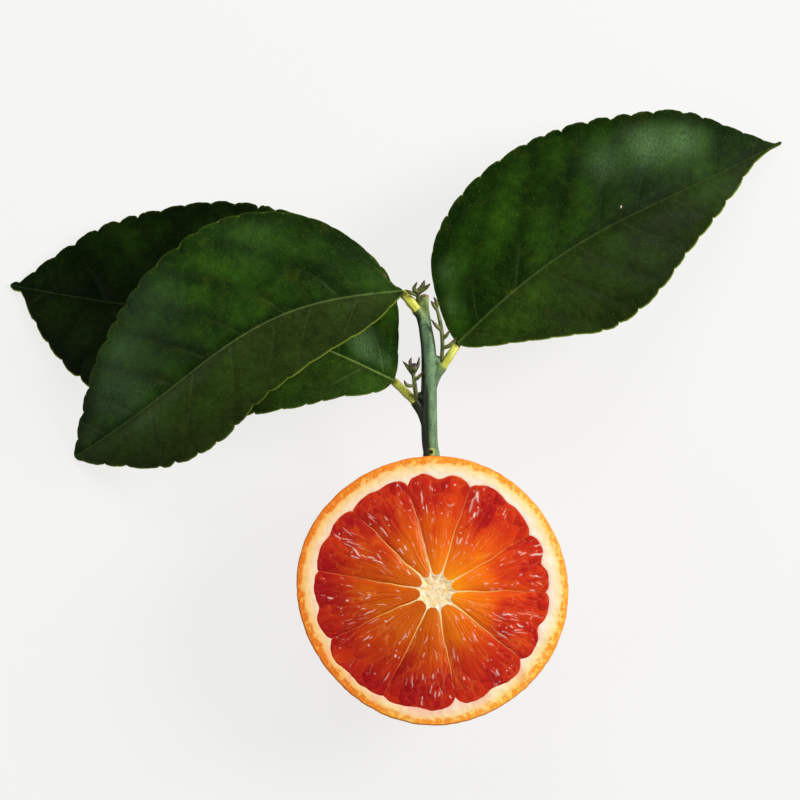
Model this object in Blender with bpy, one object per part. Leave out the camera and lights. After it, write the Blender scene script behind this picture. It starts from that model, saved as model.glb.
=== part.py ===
"""Half of a blood orange, cut across, with a leafy twig at its side.

The cut face looks up (+Z) and the dome rests on a small flat spot round the origin.
The twig leaves the dome just under the rim, towards +Y. Its three leaves arch over
and droop until their tips all but touch the surface that the fruit rests on.
"""

import math

import bmesh
import bpy
from mathutils import Matrix, Vector, noise

MM = 0.001
GAP = 0.3 * MM  # between neighbouring solids
MERGE = 0.001 * MM
UP = Vector((0.0, 0.0, 1.0))

# Fruit, seen from above. The core stands a little off the middle.
FRUIT_RADIUS = 35 * MM
CUT_HEIGHT = 32 * MM
REST_RADIUS = 10 * MM
OUTLINE_WAVES = ((2, 0.33, -61), (3, 0.21, 117), (4, 0.22, -47))  # order, mm, degrees
DOME_UNEVENNESS = 0.25 * MM
DOME_LUMP_LENGTH = 16 * MM
RIM_ROUNDING = 0.7 * MM
PEEL_WIDTH = 2.0 * MM
PITH_CREASE = 0.6 * MM
CORE_OFFSET = Vector((0.8 * MM, -0.36 * MM))
CORE_RADIUS = 4.2 * MM
CORE_SPIKE = 1.8 * MM
CORE_DEPTH = 0.35 * MM

# Segments, anticlockwise from +X. A lobe's edge dips in its middle.
MEMBRANE_DEG = (-0.5, 31.3, 72.0, 105.0, 136.0, 170.2, 204.4, 243.2, 280.3, 321.3)
NOTCH_MM = (29.5, 28.9, 28.6, 28.1, 29.4, 30.4, 29.3, 30.6, 28.7, 29.0)
LOBE_MM = (30.4, 30.5, 30.3, 30.2, 31.0, 31.0, 31.2, 31.2, 31.1, 30.7)
LOBE_DIP_MM = (1.2, 0.6, 1.2, 0.6, 0.5, 1.0, 0.4, 0.4, 1.2, 1.8)
FLESH_BULGE = 0.45 * MM
MEMBRANE_DEPTH = 0.3 * MM
SPOKES_PER_SEGMENT = 10
FLESH_RINGS = (0.08, 0.3, 0.55, 0.78, 0.93, 1.0)
DOME_RINGS = 13

# Twig: its axis and radius from the calyx to the cut end, in millimetres.
TWIG_MM = (
    ((-0.5, 34.75, 25.8), 2.4),
    ((-0.5, 35.7, 25.65), 2.25),
    ((-0.6, 37.0, 25.75), 2.1),
    ((-0.8, 40.0, 26.3), 2.1),
    ((-0.95, 48.0, 27.3), 2.1),
    ((-0.95, 56.0, 28.0), 2.0),
    ((-1.1, 62.6, 28.5), 1.95),
    ((-2.0, 69.0, 28.9), 1.7),
    ((-2.2, 73.0, 29.1), 1.25),
    ((-2.2, 76.7, 29.3), 1.0),
)
TWIG_SIDES = 12
CALYX_LOBES = 5
CALYX_LOBE_HEIGHT = 0.1
SCAR_MM = (-0.7, 36.7, 27.5)
SCAR_RADIUS = 0.8 * MM
STALK_SIDES = 10
STALK_FLATNESS = 0.85

# Each stalk: from inside the twig, out of its cushion, to the leaf's base.
CUSHION_RADIUS = 1.65 * MM
STALKS_MM = {
    "front_left": ((-2.2, 70.6, 29.0), (-4.3, 73.0, 29.9), (-7.6, 77.1, 31.0), 1.2),
    "back_left": ((-1.2, 44.2, 27.0), (-4.9, 48.1, 27.0), (-10.0, 54.1, 24.3), 1.05),
    "right": ((-0.6, 54.4, 27.9), (2.7, 58.3, 28.4), (6.3, 63.8, 28.1), 0.95),
}

# Each leaf, in millimetres: base, tip, the midrib's bow and second wave, the midrib's
# height at even steps, and half widths at tenths of the way, with both ends left out.
# The tenths lie closer together near the base and the tip.
LEAVES = {
    "front_left": {
        "base": (-7.9, 77.7),
        "tip": (-95.9, 34.0),
        "bow": (-7.3, -2.3),
        "heights": (31.0, 33.2, 29.0, 17.5, 0.7),
        "left": (3.2, 8.5, 12.4, 15.4, 16.8, 18.8, 16.0, 8.6, 3.3),
        "right": (2.6, 13.6, 23.5, 29.4, 28.6, 24.4, 18.3, 10.1, 3.1),
        "droop": 4.2,
        "waves": (0.7, 2.6, 0.4),
    },
    "back_left": {
        "base": (-10.3, 54.5),
        "tip": (-113.3, 80.2),
        "bow": (-4.5, -1.3),
        "heights": (24.1, 19.0, 12.2, 6.5, 0.7),
        "left": (4.9, 9.8, 17.7, 24.1, 27.0, 26.6, 21.2, 10.9, 0.6),
        "right": (8.6, 22.5, 29.0, 31.5, 30.9, 26.2, 19.7, 9.7, 1.6),
        "droop": 3.6,
        "waves": (0.6, 2.2, 2.0),
    },
    "right": {
        "base": (6.5, 64.2),
        "tip": (94.0, 118.6),
        "bow": (4.9, 1.1),
        "heights": (28.1, 27.6, 21.5, 12.0, 0.7),
        "left": (6.1, 19.9, 27.3, 30.0, 28.9, 24.8, 19.3, 8.7, 1.1),
        "right": (4.1, 9.7, 17.0, 23.3, 22.2, 15.0, 8.1, 2.1, 0.3),
        "droop": 4.4,
        "waves": (0.8, 2.4, 1.1),
    },
}
LEAF_THICKNESS = 0.5 * MM
LEAF_ROWS = 26
LEAF_COLUMNS = 12
GROOVE_DEPTH = 0.6 * MM
GROOVE_WIDTH = 2.2 * MM

# Bud shoots, in millimetres: each stem's axis and radius, then each bract's foot, belly,
# point and radius. The fattest one is a flower bud.
SHOOTS = {
    "top": {
        "stem": ((-4.0, 76.0, 31.4), (-3.9, 77.2, 32.2), (-3.6, 78.4, 32.9)),
        "radius": 0.55,
        "bracts": (
            ((-3.75, 77.7, 32.5), (-2.6, 79.2, 32.9), (-2.2, 80.4, 33.0), 0.5),
            ((-3.85, 76.9, 32.0), (-1.9, 78.4, 32.9), (-0.7, 79.5, 33.3), 0.5),
            ((-3.8, 77.3, 32.3), (-4.9, 78.2, 33.0), (-4.1, 79.9, 33.6), 0.5),
            ((-4.0, 76.4, 31.7), (-5.7, 77.2, 32.5), (-7.0, 77.9, 33.1), 0.45),
        ),
    },
    "right": {
        "stem": ((2.5, 61.6, 30.3), (2.4, 66.0, 31.0), (1.8, 70.2, 31.5), (1.0, 73.2, 31.9)),
        "radius": 0.55,
        "bracts": (
            ((2.2, 67.3, 31.2), (0.9, 68.6, 31.9), (-0.5, 70.3, 32.2), 0.45),
            ((1.3, 72.3, 31.8), (0.2, 74.0, 32.2), (-0.5, 75.1, 32.3), 0.45),
            ((1.1, 72.9, 31.85), (0.9, 74.7, 32.4), (0.2, 76.1, 32.7), 0.45),
            ((2.35, 65.0, 30.85), (3.5, 66.1, 31.4), (4.4, 67.5, 31.7), 0.45),
            ((2.45, 62.8, 30.5), (4.4, 63.6, 31.2), (6.1, 65.6, 31.5), 0.5),
        ),
    },
    "lower": {
        "stem": ((-4.6, 50.9, 29.0), (-4.8, 54.0, 29.7), (-5.2, 57.0, 30.2)),
        "radius": 0.6,
        "bracts": (
            ((-5.15, 56.6, 30.1), (-5.0, 57.8, 30.5), (-4.9, 58.9, 30.9), 1.1),
            ((-5.0, 55.5, 29.95), (-6.5, 57.9, 30.5), (-7.8, 59.4, 30.8), 0.45),
            ((-5.3, 57.4, 30.4), (-5.9, 59.0, 31.2), (-5.6, 60.4, 31.5), 0.45),
            ((-4.95, 56.1, 30.0), (-3.9, 58.4, 30.3), (-3.5, 60.6, 30.4), 0.45),
            ((-4.75, 53.0, 29.5), (-6.7, 53.2, 30.2), (-7.5, 54.5, 30.4), 0.45),
            ((-4.85, 54.4, 29.8), (-3.7, 55.3, 30.4), (-2.7, 56.6, 30.9), 0.45),
        ),
    },
}
STEM_SIDES = 6
BRACT_SIDES = 5

# Colours, roughness.
ORANGE_PEEL = ((0.86, 0.27, 0.03), 0.42)
TWIG_GREEN = ((0.10, 0.21, 0.11), 0.55)
STALK_GREEN = ((0.36, 0.42, 0.06), 0.50)
LEAF_GREEN = ((0.025, 0.075, 0.012), 0.38)
SHOOT_GREEN = ((0.12, 0.13, 0.04), 0.60)


def millimetres(values):
    """These numbers as a vector in metres."""
    return Vector(values) * MM


def between(stations, place):
    """The value at place, 0 to 1, on a smooth curve through evenly spaced stations."""
    spans = len(stations) - 1
    index = min(int(place * spans), spans - 1)
    part = place * spans - index
    before = stations[index - 1] if index else 2 * stations[0] - stations[1]
    start, end = stations[index], stations[index + 1]
    after = stations[index + 2] if index + 2 <= spans else 2 * end - start
    return 0.5 * (
        2 * start
        + (end - before) * part
        + (2 * before - 5 * start + 4 * end - after) * part**2
        + (3 * start - before - 3 * end + after) * part**3
    )


def shaped_grid(columns, rows, place):
    """A grid whose points (u, v), each 0 to 1, stand at place(u, v)."""
    mesh = bmesh.new()
    bmesh.ops.create_grid(mesh, x_segments=columns, y_segments=rows, size=0.5)
    for vert in mesh.verts:
        vert.co = place(vert.co.x + 0.5, vert.co.y + 0.5)
    bmesh.ops.remove_doubles(mesh, verts=mesh.verts, dist=MERGE)
    bmesh.ops.recalc_face_normals(mesh, faces=mesh.faces)
    return mesh


def make_object(name, mesh, finish):
    """An object from this bmesh, smooth shaded, with its own material."""
    data = bpy.data.meshes.new(name)
    mesh.to_mesh(data)
    mesh.free()
    data.shade_smooth()
    data.set_sharp_from_angle(angle=math.radians(40))
    colour, roughness = finish
    material = bpy.data.materials.new(name)
    material.use_nodes = True
    shader = material.node_tree.nodes["Principled BSDF"]
    shader.inputs["Base Color"].default_value = (*colour, 1.0)
    shader.inputs["Roughness"].default_value = roughness
    data.materials.append(material)
    obj = bpy.data.objects.new(name, data)
    bpy.context.scene.collection.objects.link(obj)
    return obj


def fuse(obj, others):
    """Joins the other objects to this one with one Boolean union, and removes them."""
    group = bpy.data.collections.new(obj.name + "_joined")
    for other in others:
        group.objects.link(other)
    union = obj.modifiers.new("join", "BOOLEAN")
    union.operation = "UNION"
    union.solver = "EXACT"
    union.operand_type = "COLLECTION"
    union.collection = group
    graph = bpy.context.evaluated_depsgraph_get()
    joined = bpy.data.meshes.new_from_object(obj.evaluated_get(graph))
    obj.modifiers.remove(union)
    obj.data = joined
    for other in others:
        bpy.data.objects.remove(other)
    bpy.data.collections.remove(group)


def tube(centres, radii, sides, fineness=2, flatness=1.0, section=None):
    """A closed round bar on a smooth line through the centres, flat at both ends."""
    steps = fineness * (len(centres) - 1)
    rows = steps + 2

    def place(u, v):
        row = round(v * rows)
        along = min(max(row - 1, 0), steps) / steps
        centre = between(centres, along)
        ahead = between(centres, min(along + 0.01, 1.0)) - between(centres, max(along - 0.01, 0.0))
        side = ahead.cross(UP).normalized()
        over = side.cross(ahead).normalized()
        radius = 0.0 if row in (0, rows) else between(radii, along)
        angle = math.tau * round(u * sides) / sides
        if section:
            radius *= section(angle, along)
        return centre + radius * (math.cos(angle) * side + flatness * math.sin(angle) * over)

    return shaped_grid(sides, rows, place)


def outline_radius(angle):
    """The fruit's radius, seen from above, towards this angle."""
    waves = (
        size * math.cos(order * angle - math.radians(phase)) for order, size, phase in OUTLINE_WAVES
    )
    return FRUIT_RADIUS + MM * sum(waves)


def on_spoke(angle, radius):
    """The point at this distance from the fruit's axis, on the core's ray to this angle."""
    ray = Vector((math.cos(angle), math.sin(angle)))
    lean = CORE_OFFSET.dot(ray)
    reach = math.sqrt(radius**2 - CORE_OFFSET.length_squared + lean**2) - lean
    return CORE_OFFSET + reach * ray


def segment_spokes():
    """(segment, place across it from 0 to 1, angle) of every spoke."""
    spokes = []
    for segment, start in enumerate(MEMBRANE_DEG):
        last = segment + 1 == len(MEMBRANE_DEG)
        end = MEMBRANE_DEG[0] + 360 if last else MEMBRANE_DEG[segment + 1]
        for step in range(SPOKES_PER_SEGMENT):
            across = step / SPOKES_PER_SEGMENT
            spokes.append((segment, across, math.radians(start + (end - start) * across)))
    return spokes


def flesh_radius(segment, across):
    """How far the flesh reaches: full in a lobe's shoulders, less at its ends and middle."""
    following = (segment + 1) % len(NOTCH_MM)
    notch = NOTCH_MM[segment] * (1 - across) + NOTCH_MM[following] * across
    shoulder = 1 - abs(2 * across - 1) ** 5
    dip = LOBE_DIP_MM[segment] * math.exp(-(((across - 0.5) / 0.13) ** 2))
    return MM * (notch + (LOBE_MM[segment] - notch) * shoulder - dip)


def fruit_rings(segment, across, angle):
    """The points of one spoke, from the core over the rim and down to the rest spot."""
    on_membrane = abs(2 * across - 1) ** 6
    core = CORE_OFFSET + (CORE_RADIUS + CORE_SPIKE * on_membrane) * Vector(
        (math.cos(angle), math.sin(angle))
    )
    edge = on_spoke(angle, flesh_radius(segment, across))
    points = [
        (*CORE_OFFSET, CUT_HEIGHT - CORE_DEPTH),
        (*CORE_OFFSET.lerp(core, 0.6), CUT_HEIGHT - CORE_DEPTH),
        (*core, CUT_HEIGHT - 0.3 * CORE_DEPTH),
    ]
    for share in FLESH_RINGS:
        swell = FLESH_BULGE * (1 - on_membrane) * (1 - share**8) * min(1.0, 3 * share)
        height = CUT_HEIGHT + swell - MEMBRANE_DEPTH * on_membrane * (1 - share)
        points.append((*core.lerp(edge, share), height))
    rim = outline_radius(angle)
    points.append((*(edge + PITH_CREASE * edge.normalized()), CUT_HEIGHT - 0.1 * MM))
    points.append((*on_spoke(angle, rim - PEEL_WIDTH), CUT_HEIGHT - 0.1 * MM))
    points.append((*on_spoke(angle, rim - RIM_ROUNDING), CUT_HEIGHT))
    rim_point = on_spoke(angle, rim)
    depth = CUT_HEIGHT / math.sqrt(1 - (REST_RADIUS / FRUIT_RADIUS) ** 2)
    lowest = math.acos(REST_RADIUS / FRUIT_RADIUS)
    for ring in range(DOME_RINGS + 1):
        fall = RIM_ROUNDING / depth + (lowest - RIM_ROUNDING / depth) * ring / DOME_RINGS
        point = Vector((*(rim_point * math.cos(fall)), CUT_HEIGHT - depth * math.sin(fall)))
        lump = noise.noise(point / DOME_LUMP_LENGTH) * math.sin(math.pi * ring / DOME_RINGS)
        out = Vector((point.x, point.y, point.z - CUT_HEIGHT)).normalized()
        points.append(tuple(point + DOME_UNEVENNESS * lump * out))
    points.append((0.0, 0.0, 0.0))
    return points


def make_orange_half():
    spokes = [fruit_rings(*spoke) for spoke in segment_spokes()]
    rings = len(spokes[0]) - 1

    def place(u, v):
        spoke = round(u * len(spokes)) % len(spokes)
        return spokes[spoke][round(v * rings)]

    make_object("orange_half", shaped_grid(len(spokes), rings, place), ORANGE_PEEL)


def make_twig():
    centres = [millimetres(centre) for centre, _ in TWIG_MM]
    radii = [radius * MM for _, radius in TWIG_MM]

    def calyx(angle, along):
        fade = max(0.0, 1 - along * (len(TWIG_MM) - 1) / 2)
        return 1 + CALYX_LOBE_HEIGHT * fade * math.cos(CALYX_LOBES * angle)

    twig = make_object("twig", tube(centres, radii, TWIG_SIDES, section=calyx), TWIG_GREEN)
    joined = []
    for name, (inside, mouth, _, radius) in STALKS_MM.items():
        ends = [millimetres(inside), millimetres(mouth)]
        line = [ends[0], ends[0].lerp(ends[1], 0.5), ends[1]]
        sizes = [CUSHION_RADIUS * 0.8, CUSHION_RADIUS, radius * MM + 0.15 * MM]
        joined.append(make_object("cushion_" + name, tube(line, sizes, TWIG_SIDES), TWIG_GREEN))
    scar = bmesh.new()
    spot = Matrix.Translation(millimetres(SCAR_MM))
    bmesh.ops.create_icosphere(scar, subdivisions=2, radius=SCAR_RADIUS, matrix=spot)
    joined.append(make_object("scar", scar, TWIG_GREEN))
    fuse(twig, joined)


def make_stalks():
    for name, (_, mouth, end, radius) in STALKS_MM.items():
        start, end = millimetres(mouth), millimetres(end)
        way = (end - start).normalized()
        start += GAP * way
        end -= GAP * way
        middle = start.lerp(end, 0.5) + Vector((0.0, 0.0, 0.35 * MM))
        sizes = [radius * MM, radius * MM * 0.92, radius * MM * 0.85]
        bar = tube([start, middle, end], sizes, STALK_SIDES, flatness=STALK_FLATNESS)
        make_object("petiole_" + name, bar, STALK_GREEN)


def midrib(leaf, place):
    """A leaf's midrib from above: the point and the unit vector to its left."""
    base, tip = Vector(leaf["base"]), Vector(leaf["tip"])
    way = tip - base
    left = Vector((-way.y, way.x)) / way.length
    bow, second = leaf["bow"]
    aside = bow * math.sin(math.pi * place) + second * math.sin(2 * math.pi * place)
    slope = math.pi * (bow * math.cos(math.pi * place) + 2 * second * math.cos(2 * math.pi * place))
    ahead = (way + left * slope).normalized()
    return base + place * way + aside * left, Vector((-ahead.y, ahead.x))


def leaf_point(leaf, across, along):
    """A point of the leaf's middle surface; across runs from -1, right, to 1, left."""
    place = (1 - math.cos(math.pi * along)) / 2
    middle, left = midrib(leaf, place)
    side = leaf["left"] if across > 0 else leaf["right"]
    width = max(0.0, between((0.0, *side, 0.0), along))
    share = width / max(side)
    size, count, phase = leaf["waves"]
    wave = size * across**2 * share * math.sin(math.tau * count * place + phase + across)
    height = between(leaf["heights"], place) - leaf["droop"] * (across * share) ** 2 + wave
    aside = MM * width * abs(across)
    groove = GROOVE_DEPTH * share * (1 - math.exp(-((aside / GROOVE_WIDTH) ** 2)))
    plan = MM * (middle + left * width * across)
    return Vector((plan.x, plan.y, MM * height + groove))


def make_leaves():
    for name, leaf in LEAVES.items():

        def place(u, v, leaf=leaf):
            across = 2 * u - 1
            return leaf_point(leaf, math.copysign(abs(across) ** 1.3, across), v)

        blade = shaped_grid(LEAF_COLUMNS, LEAF_ROWS, place)
        bmesh.ops.triangulate(blade, faces=blade.faces)
        if sum((face.normal.z for face in blade.faces)) < 0:
            bmesh.ops.reverse_faces(blade, faces=blade.faces)
        obj = make_object("leaf_" + name, blade, LEAF_GREEN)
        shell = obj.modifiers.new("thickness", "SOLIDIFY")
        shell.thickness = LEAF_THICKNESS
        shell.offset = 0.0


def make_shoots():
    for name, shoot in SHOOTS.items():
        stem = [millimetres(point) for point in shoot["stem"]]
        thick = shoot["radius"] * MM
        sizes = [thick] * (len(stem) - 1) + [0.7 * thick]
        obj = make_object("bud_shoot_" + name, tube(stem, sizes, STEM_SIDES, 1), SHOOT_GREEN)
        bracts = []
        for *points, radius in shoot["bracts"]:
            line = [millimetres(point) for point in points]
            sizes = [0.8 * radius * MM, radius * MM, 0.25 * radius * MM]
            bracts.append(make_object("bract", tube(line, sizes, BRACT_SIDES, 1), SHOOT_GREEN))
        fuse(obj, bracts)


def main():
    for obj in list(bpy.data.objects):
        bpy.data.objects.remove(obj)
    make_orange_half()
    make_twig()
    make_stalks()
    make_leaves()
    make_shoots()


main()
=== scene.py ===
"""Half of a blood orange on its leafy twig: the finish of every surface.

Laid out as a Blender add-on, and run as a script. Shapes are worked out in millimetres and
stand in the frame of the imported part, in metres: the origin is the rest spot under the dome,
+Z looks out of the cut face and +Y towards the twig.
"""

import math

import bpy
import numpy as np
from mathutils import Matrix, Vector, noise


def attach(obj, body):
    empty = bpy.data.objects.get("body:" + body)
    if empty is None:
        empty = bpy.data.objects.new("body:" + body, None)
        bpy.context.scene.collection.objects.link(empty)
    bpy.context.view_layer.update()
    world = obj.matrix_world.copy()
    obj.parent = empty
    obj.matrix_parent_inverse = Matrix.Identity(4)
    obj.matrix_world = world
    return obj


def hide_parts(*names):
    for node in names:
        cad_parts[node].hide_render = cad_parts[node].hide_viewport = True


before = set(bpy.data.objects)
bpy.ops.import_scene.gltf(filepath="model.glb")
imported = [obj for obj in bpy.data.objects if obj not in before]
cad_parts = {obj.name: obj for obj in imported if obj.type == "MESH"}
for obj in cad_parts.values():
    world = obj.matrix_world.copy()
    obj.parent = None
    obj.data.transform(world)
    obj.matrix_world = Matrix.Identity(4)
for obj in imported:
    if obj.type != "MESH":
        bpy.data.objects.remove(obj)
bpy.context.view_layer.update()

bl_info = {
    "name": "Blood orange half",
    "version": (1, 0, 0),
    "blender": (4, 5, 0),
    "location": "View3D > Sidebar > Blood orange",
    "description": "Builds the peel, the pulp, the twig and the leaves of a cut blood orange",
    "category": "Object",
}

MM = 0.001
WELD = 0.001 * MM

# Fruit, in millimetres and degrees, seen from above. The core stands a little off the middle.
FRUIT_RADIUS = 35.0
CUT_HEIGHT = 32.0
REST_RADIUS = 10.0
OUTLINE_WAVES = ((2, 0.33, -61), (3, 0.21, 117), (4, 0.22, -47))  # order, size, phase
DOME_UNEVENNESS = 0.25
DOME_LUMP_LENGTH = 16.0
RIM_ROUNDING = 0.45
CORE = np.array((0.8, -0.36))
CORE_RADIUS = 4.2
CORE_SPIKE = 1.2
CORE_DEPTH = 0.25
CORE_EDGE = 5.2  # where a membrane's width sets the point of the core
CORE_BASE_DEPTH = 2.4
FLOOR_DEPTH = 2.6
FLOOR_PROFILE = ((0.0, FLOOR_DEPTH), (0.6, FLOOR_DEPTH), (0.99, FLOOR_DEPTH), (0.985, 0.4))
PULP_DEPTH = 2.2
MEMBRANE_START = 4.9
FLESH_REACH = 30.0  # from the core to the flesh's edge, about
SAC_WIDTH = 2.8
MAP_SPAN = 100.0  # millimetres to one side of a UV map
THICK_PEEL = ((0.28, 0.72, 314), (0.09, 0.5, 112), (0.14, 0.72, 222))  # size, start, side

# Segments, anticlockwise from +X, as in the solid. A lobe's edge dips in its middle.
MEMBRANE_DEG = (-0.5, 31.3, 72.0, 105.0, 136.0, 170.2, 204.4, 243.2, 280.3, 321.3)
NOTCH_MM = (29.5, 28.9, 28.6, 28.1, 29.4, 30.4, 29.3, 30.6, 28.7, 29.0)
LOBE_MM = (30.4, 30.5, 30.3, 30.2, 31.0, 31.0, 31.2, 31.2, 31.1, 30.7)
LOBE_DIP_MM = (1.2, 0.6, 1.2, 0.6, 0.5, 1.0, 0.4, 0.4, 1.2, 1.8)
MEMBRANE_WIDTHS = (1.0, 0.9, 1.0, 1.25, 1.5, 0.9, 0.9, 0.85, 1.2, 1.35)
FLESH_BULGE = 0.45
SEGMENT_COUNT = len(MEMBRANE_DEG)
SEGMENT_GRID = (110, 230)
# The flesh is deeper red the farther a segment lies from this side; there painted shade also
# darkens it, most by the core, and it has fewer painted glints.
PALE_SIDE_DEG = 19.0
PAINTED_LIGHT_SIDE_DEG = 12.0  # where the peel is painted lit, so yellowest; painted shade opposite

# Twig: its axis and radius from the calyx to the cut end, close to the solid.
TWIG_MM = (
    ((-0.5, 34.0, 25.9), 2.15),
    ((-0.5, 35.7, 25.65), 2.1),
    ((-0.6, 37.0, 25.75), 2.1),
    ((-0.8, 40.0, 26.3), 2.1),
    ((-0.95, 48.0, 27.3), 2.1),
    ((-0.95, 56.0, 28.0), 2.0),
    ((-1.1, 62.6, 28.5), 1.95),
    ((-2.0, 69.0, 28.9), 1.7),
    ((-2.2, 73.0, 29.1), 1.3),
    ((-2.2, 76.7, 29.3), 1.12),
)
SCAR_MM = (-0.45, 35.8, 27.5)
CUSHION_RADIUS = 1.65
TWIG_VOXEL = 0.17
SHOOT_VOXEL = 0.11
CUT_END = 76.0

# Each stalk: from inside the twig, out of its cushion, to the leaf's base, and its radius.
# The bark also swells in the angle over each stalk, where a bud shoot stands.
STALKS_MM = {
    "front_left": ((-2.2, 70.6, 29.0), (-4.2, 72.9, 29.9), (-7.6, 77.1, 31.0), 1.28),
    "back_left": ((-1.2, 44.2, 27.0), (-4.6, 48.9, 27.1), (-10.0, 54.1, 24.3), 1.08),
    "right": ((-0.6, 54.4, 27.9), (2.7, 58.2, 28.4), (6.3, 63.8, 28.1), 1.08),
}
AXILS_MM = ((-3.1, 74.2, 29.3), (-3.3, 50.2, 27.6), (1.2, 59.7, 28.5))
AXIL_RADIUS = 1.25

# Each leaf, close to the solid: base, tip, the midrib's bow, its height at even steps, half widths
# at tenths of the way, the fall of its sides, and its waves (size, count, phase). Then its looks:
# painted light and shade at the base and beyond, painted shade as a dull yellow-green tint of the
# lower half, gloss, strength of the midrib's line, depth of the teeth, half width of the tip, and
# painted sheen as soft bright patches (place, size, strength).
LEAVES = {
    "front_left": {
        "base": (-7.9, 77.7),
        "tip": (-95.9, 34.0),
        "bow": (-7.3, -2.3),
        "heights": (31.0, 33.2, 29.0, 17.5, 0.7),
        "left": (3.2, 8.5, 12.4, 15.4, 16.8, 18.8, 16.0, 8.6, 3.3),
        "right": (2.6, 13.6, 23.5, 29.4, 28.6, 24.4, 18.3, 10.1, 3.1),
        "droop": 4.2,
        "waves": (0.7, 2.6, 0.4),
        "painted_light_tones": (0.76, 1.06),
        "painted_lower_shade": 0.48,
        "gloss": 0.6,
        "rib": 0.75,
        "teeth": 1.15,
        "tip_width": 0.9,
        "painted_sheen": (
            ((-48.0, 96.0), 9.0, 0.1), ((-85.0, 52.0), 8.0, 0.3), ((-82.0, 64.0), 6.0, 0.22),
            ((-77.0, 46.0), 6.0, 0.25), ((-92.0, 38.0), 4.0, 0.25), ((-70.0, 77.0), 5.0, 0.15),
        ),
    },
    "back_left": {
        "base": (-10.3, 54.5),
        "tip": (-113.3, 80.2),
        "bow": (-4.5, -1.3),
        "heights": (24.1, 19.0, 12.2, 6.5, 0.7),
        "left": (4.9, 9.8, 17.7, 24.1, 27.0, 26.6, 21.2, 10.9, 0.6),
        "right": (8.6, 22.5, 29.0, 31.5, 30.9, 26.2, 19.7, 9.7, 1.6),
        "droop": 3.6,
        "waves": (0.6, 2.2, 2.0),
        "painted_light_tones": (2.1, 0.28),
        "painted_lower_shade": 0.2,
        "gloss": 0.4,
        "rib": 0.75,
        "teeth": 1.45,
        "tip_width": 1.3,
        "painted_sheen": (((-18.6, 65.6), 3.4, 0.85), ((-17.4, 61.6), 3.0, 0.7), ((-12.7, 59.3), 2.2, 0.4)),
    },
    "right": {
        "base": (6.5, 64.2),
        "tip": (94.0, 118.6),
        "bow": (4.9, 1.1),
        "heights": (28.1, 27.6, 21.5, 12.0, 0.7),
        "left": (9.0, 20.7, 27.4, 30.0, 28.9, 24.8, 19.3, 8.7, 1.1),
        "right": (4.1, 9.7, 17.0, 23.3, 22.2, 15.0, 8.1, 2.1, 0.3),
        "droop": 4.4,
        "waves": (0.8, 2.4, 1.1),
        "painted_light_tones": (0.74, 0.47),
        "painted_lower_shade": 0.3,
        "gloss": 0.12,
        "rib": 0.45,
        "teeth": 1.15,
        "tip_width": 0.5,
        "painted_sheen": (
            ((45.0, 112.0), 5.0, 0.22), ((57.0, 117.0), 6.0, 0.42), ((67.0, 118.0), 5.0, 0.35),
            ((2.5, 83.0), 3.5, 0.2), ((4.5, 74.0), 3.0, 0.15),
        ),
    },
}
GROOVE_DEPTH = 0.45
GROOVE_WIDTH = 2.0
LEAF_BASE_HALF = 1.5
LEAF_COLUMNS = 120
LEAF_ROWS = 340
VEIN_SPACING = 12.5
TORN_EDGE = (-12.0, 81.9)  # on the front leaf
BITE = (-10.8, 81.1)
PALE_FLECK = (49.6, 100.3)  # on the right leaf

# Bud shoots: each stem's axis and radius, then each bract's foot, belly, point and radius.
SHOOTS = {
    "top": {
        "stem": ((-3.7, 74.3, 30.1), (-3.9, 76.3, 31.6), (-3.6, 78.4, 32.9)),
        "radius": 0.55,
        "bracts": (
            ((-3.75, 77.7, 32.5), (-2.6, 79.2, 32.9), (-2.2, 80.4, 33.0), 0.5),
            ((-3.85, 76.9, 32.0), (-1.9, 78.4, 32.9), (-0.7, 79.5, 33.3), 0.5),
            ((-3.8, 77.3, 32.3), (-4.9, 78.2, 33.0), (-4.1, 79.9, 33.6), 0.5),
            ((-4.0, 76.4, 31.7), (-5.7, 77.2, 32.5), (-7.0, 77.9, 33.1), 0.45),
        ),
    },
    "right": {
        "stem": ((2.3, 59.6, 29.2), (2.5, 64.2, 30.7), (2.0, 69.0, 31.4), (1.0, 73.2, 31.9)),
        "radius": 0.55,
        "bracts": (
            ((2.2, 67.3, 31.2), (0.9, 68.6, 31.9), (-0.5, 70.3, 32.2), 0.45),
            ((1.3, 72.3, 31.8), (0.2, 74.0, 32.2), (-0.5, 75.1, 32.3), 0.45),
            ((1.1, 72.9, 31.85), (0.9, 74.7, 32.4), (0.2, 76.1, 32.7), 0.45),
            ((2.35, 65.0, 30.85), (3.5, 66.1, 31.4), (4.4, 67.5, 31.7), 0.45),
            ((2.45, 62.8, 30.5), (4.4, 63.6, 31.2), (6.1, 65.6, 31.5), 0.5),
        ),
    },
    "lower": {
        "stem": ((-4.2, 49.2, 27.7), (-4.7, 53.2, 29.4), (-5.2, 57.0, 30.2)),
        "radius": 0.6,
        "bracts": (
            ((-5.1, 56.9, 30.2), (-4.9, 57.9, 30.8), (-4.7, 58.9, 31.2), 1.05),
            ((-5.0, 55.5, 29.95), (-6.5, 57.9, 30.5), (-7.8, 59.4, 30.8), 0.45),
            ((-5.3, 57.4, 30.4), (-5.9, 59.0, 31.2), (-5.6, 60.4, 31.5), 0.45),
            ((-4.95, 56.1, 30.0), (-3.9, 58.4, 30.3), (-3.5, 60.6, 30.4), 0.45),
            ((-4.75, 53.0, 29.5), (-6.7, 53.2, 30.2), (-7.5, 54.5, 30.4), 0.45),
            ((-4.85, 54.4, 29.8), (-3.7, 55.3, 30.4), (-2.7, 56.6, 30.9), 0.45),
        ),
    },
}

# Camera: straight above, 865.4 mm over the cut face.
CAMERA_PLACE = (-0.00854, 0.04935, 0.8974)
CAMERA_LENS = 150.0
CAMERA_SENSOR = 36.0


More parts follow.
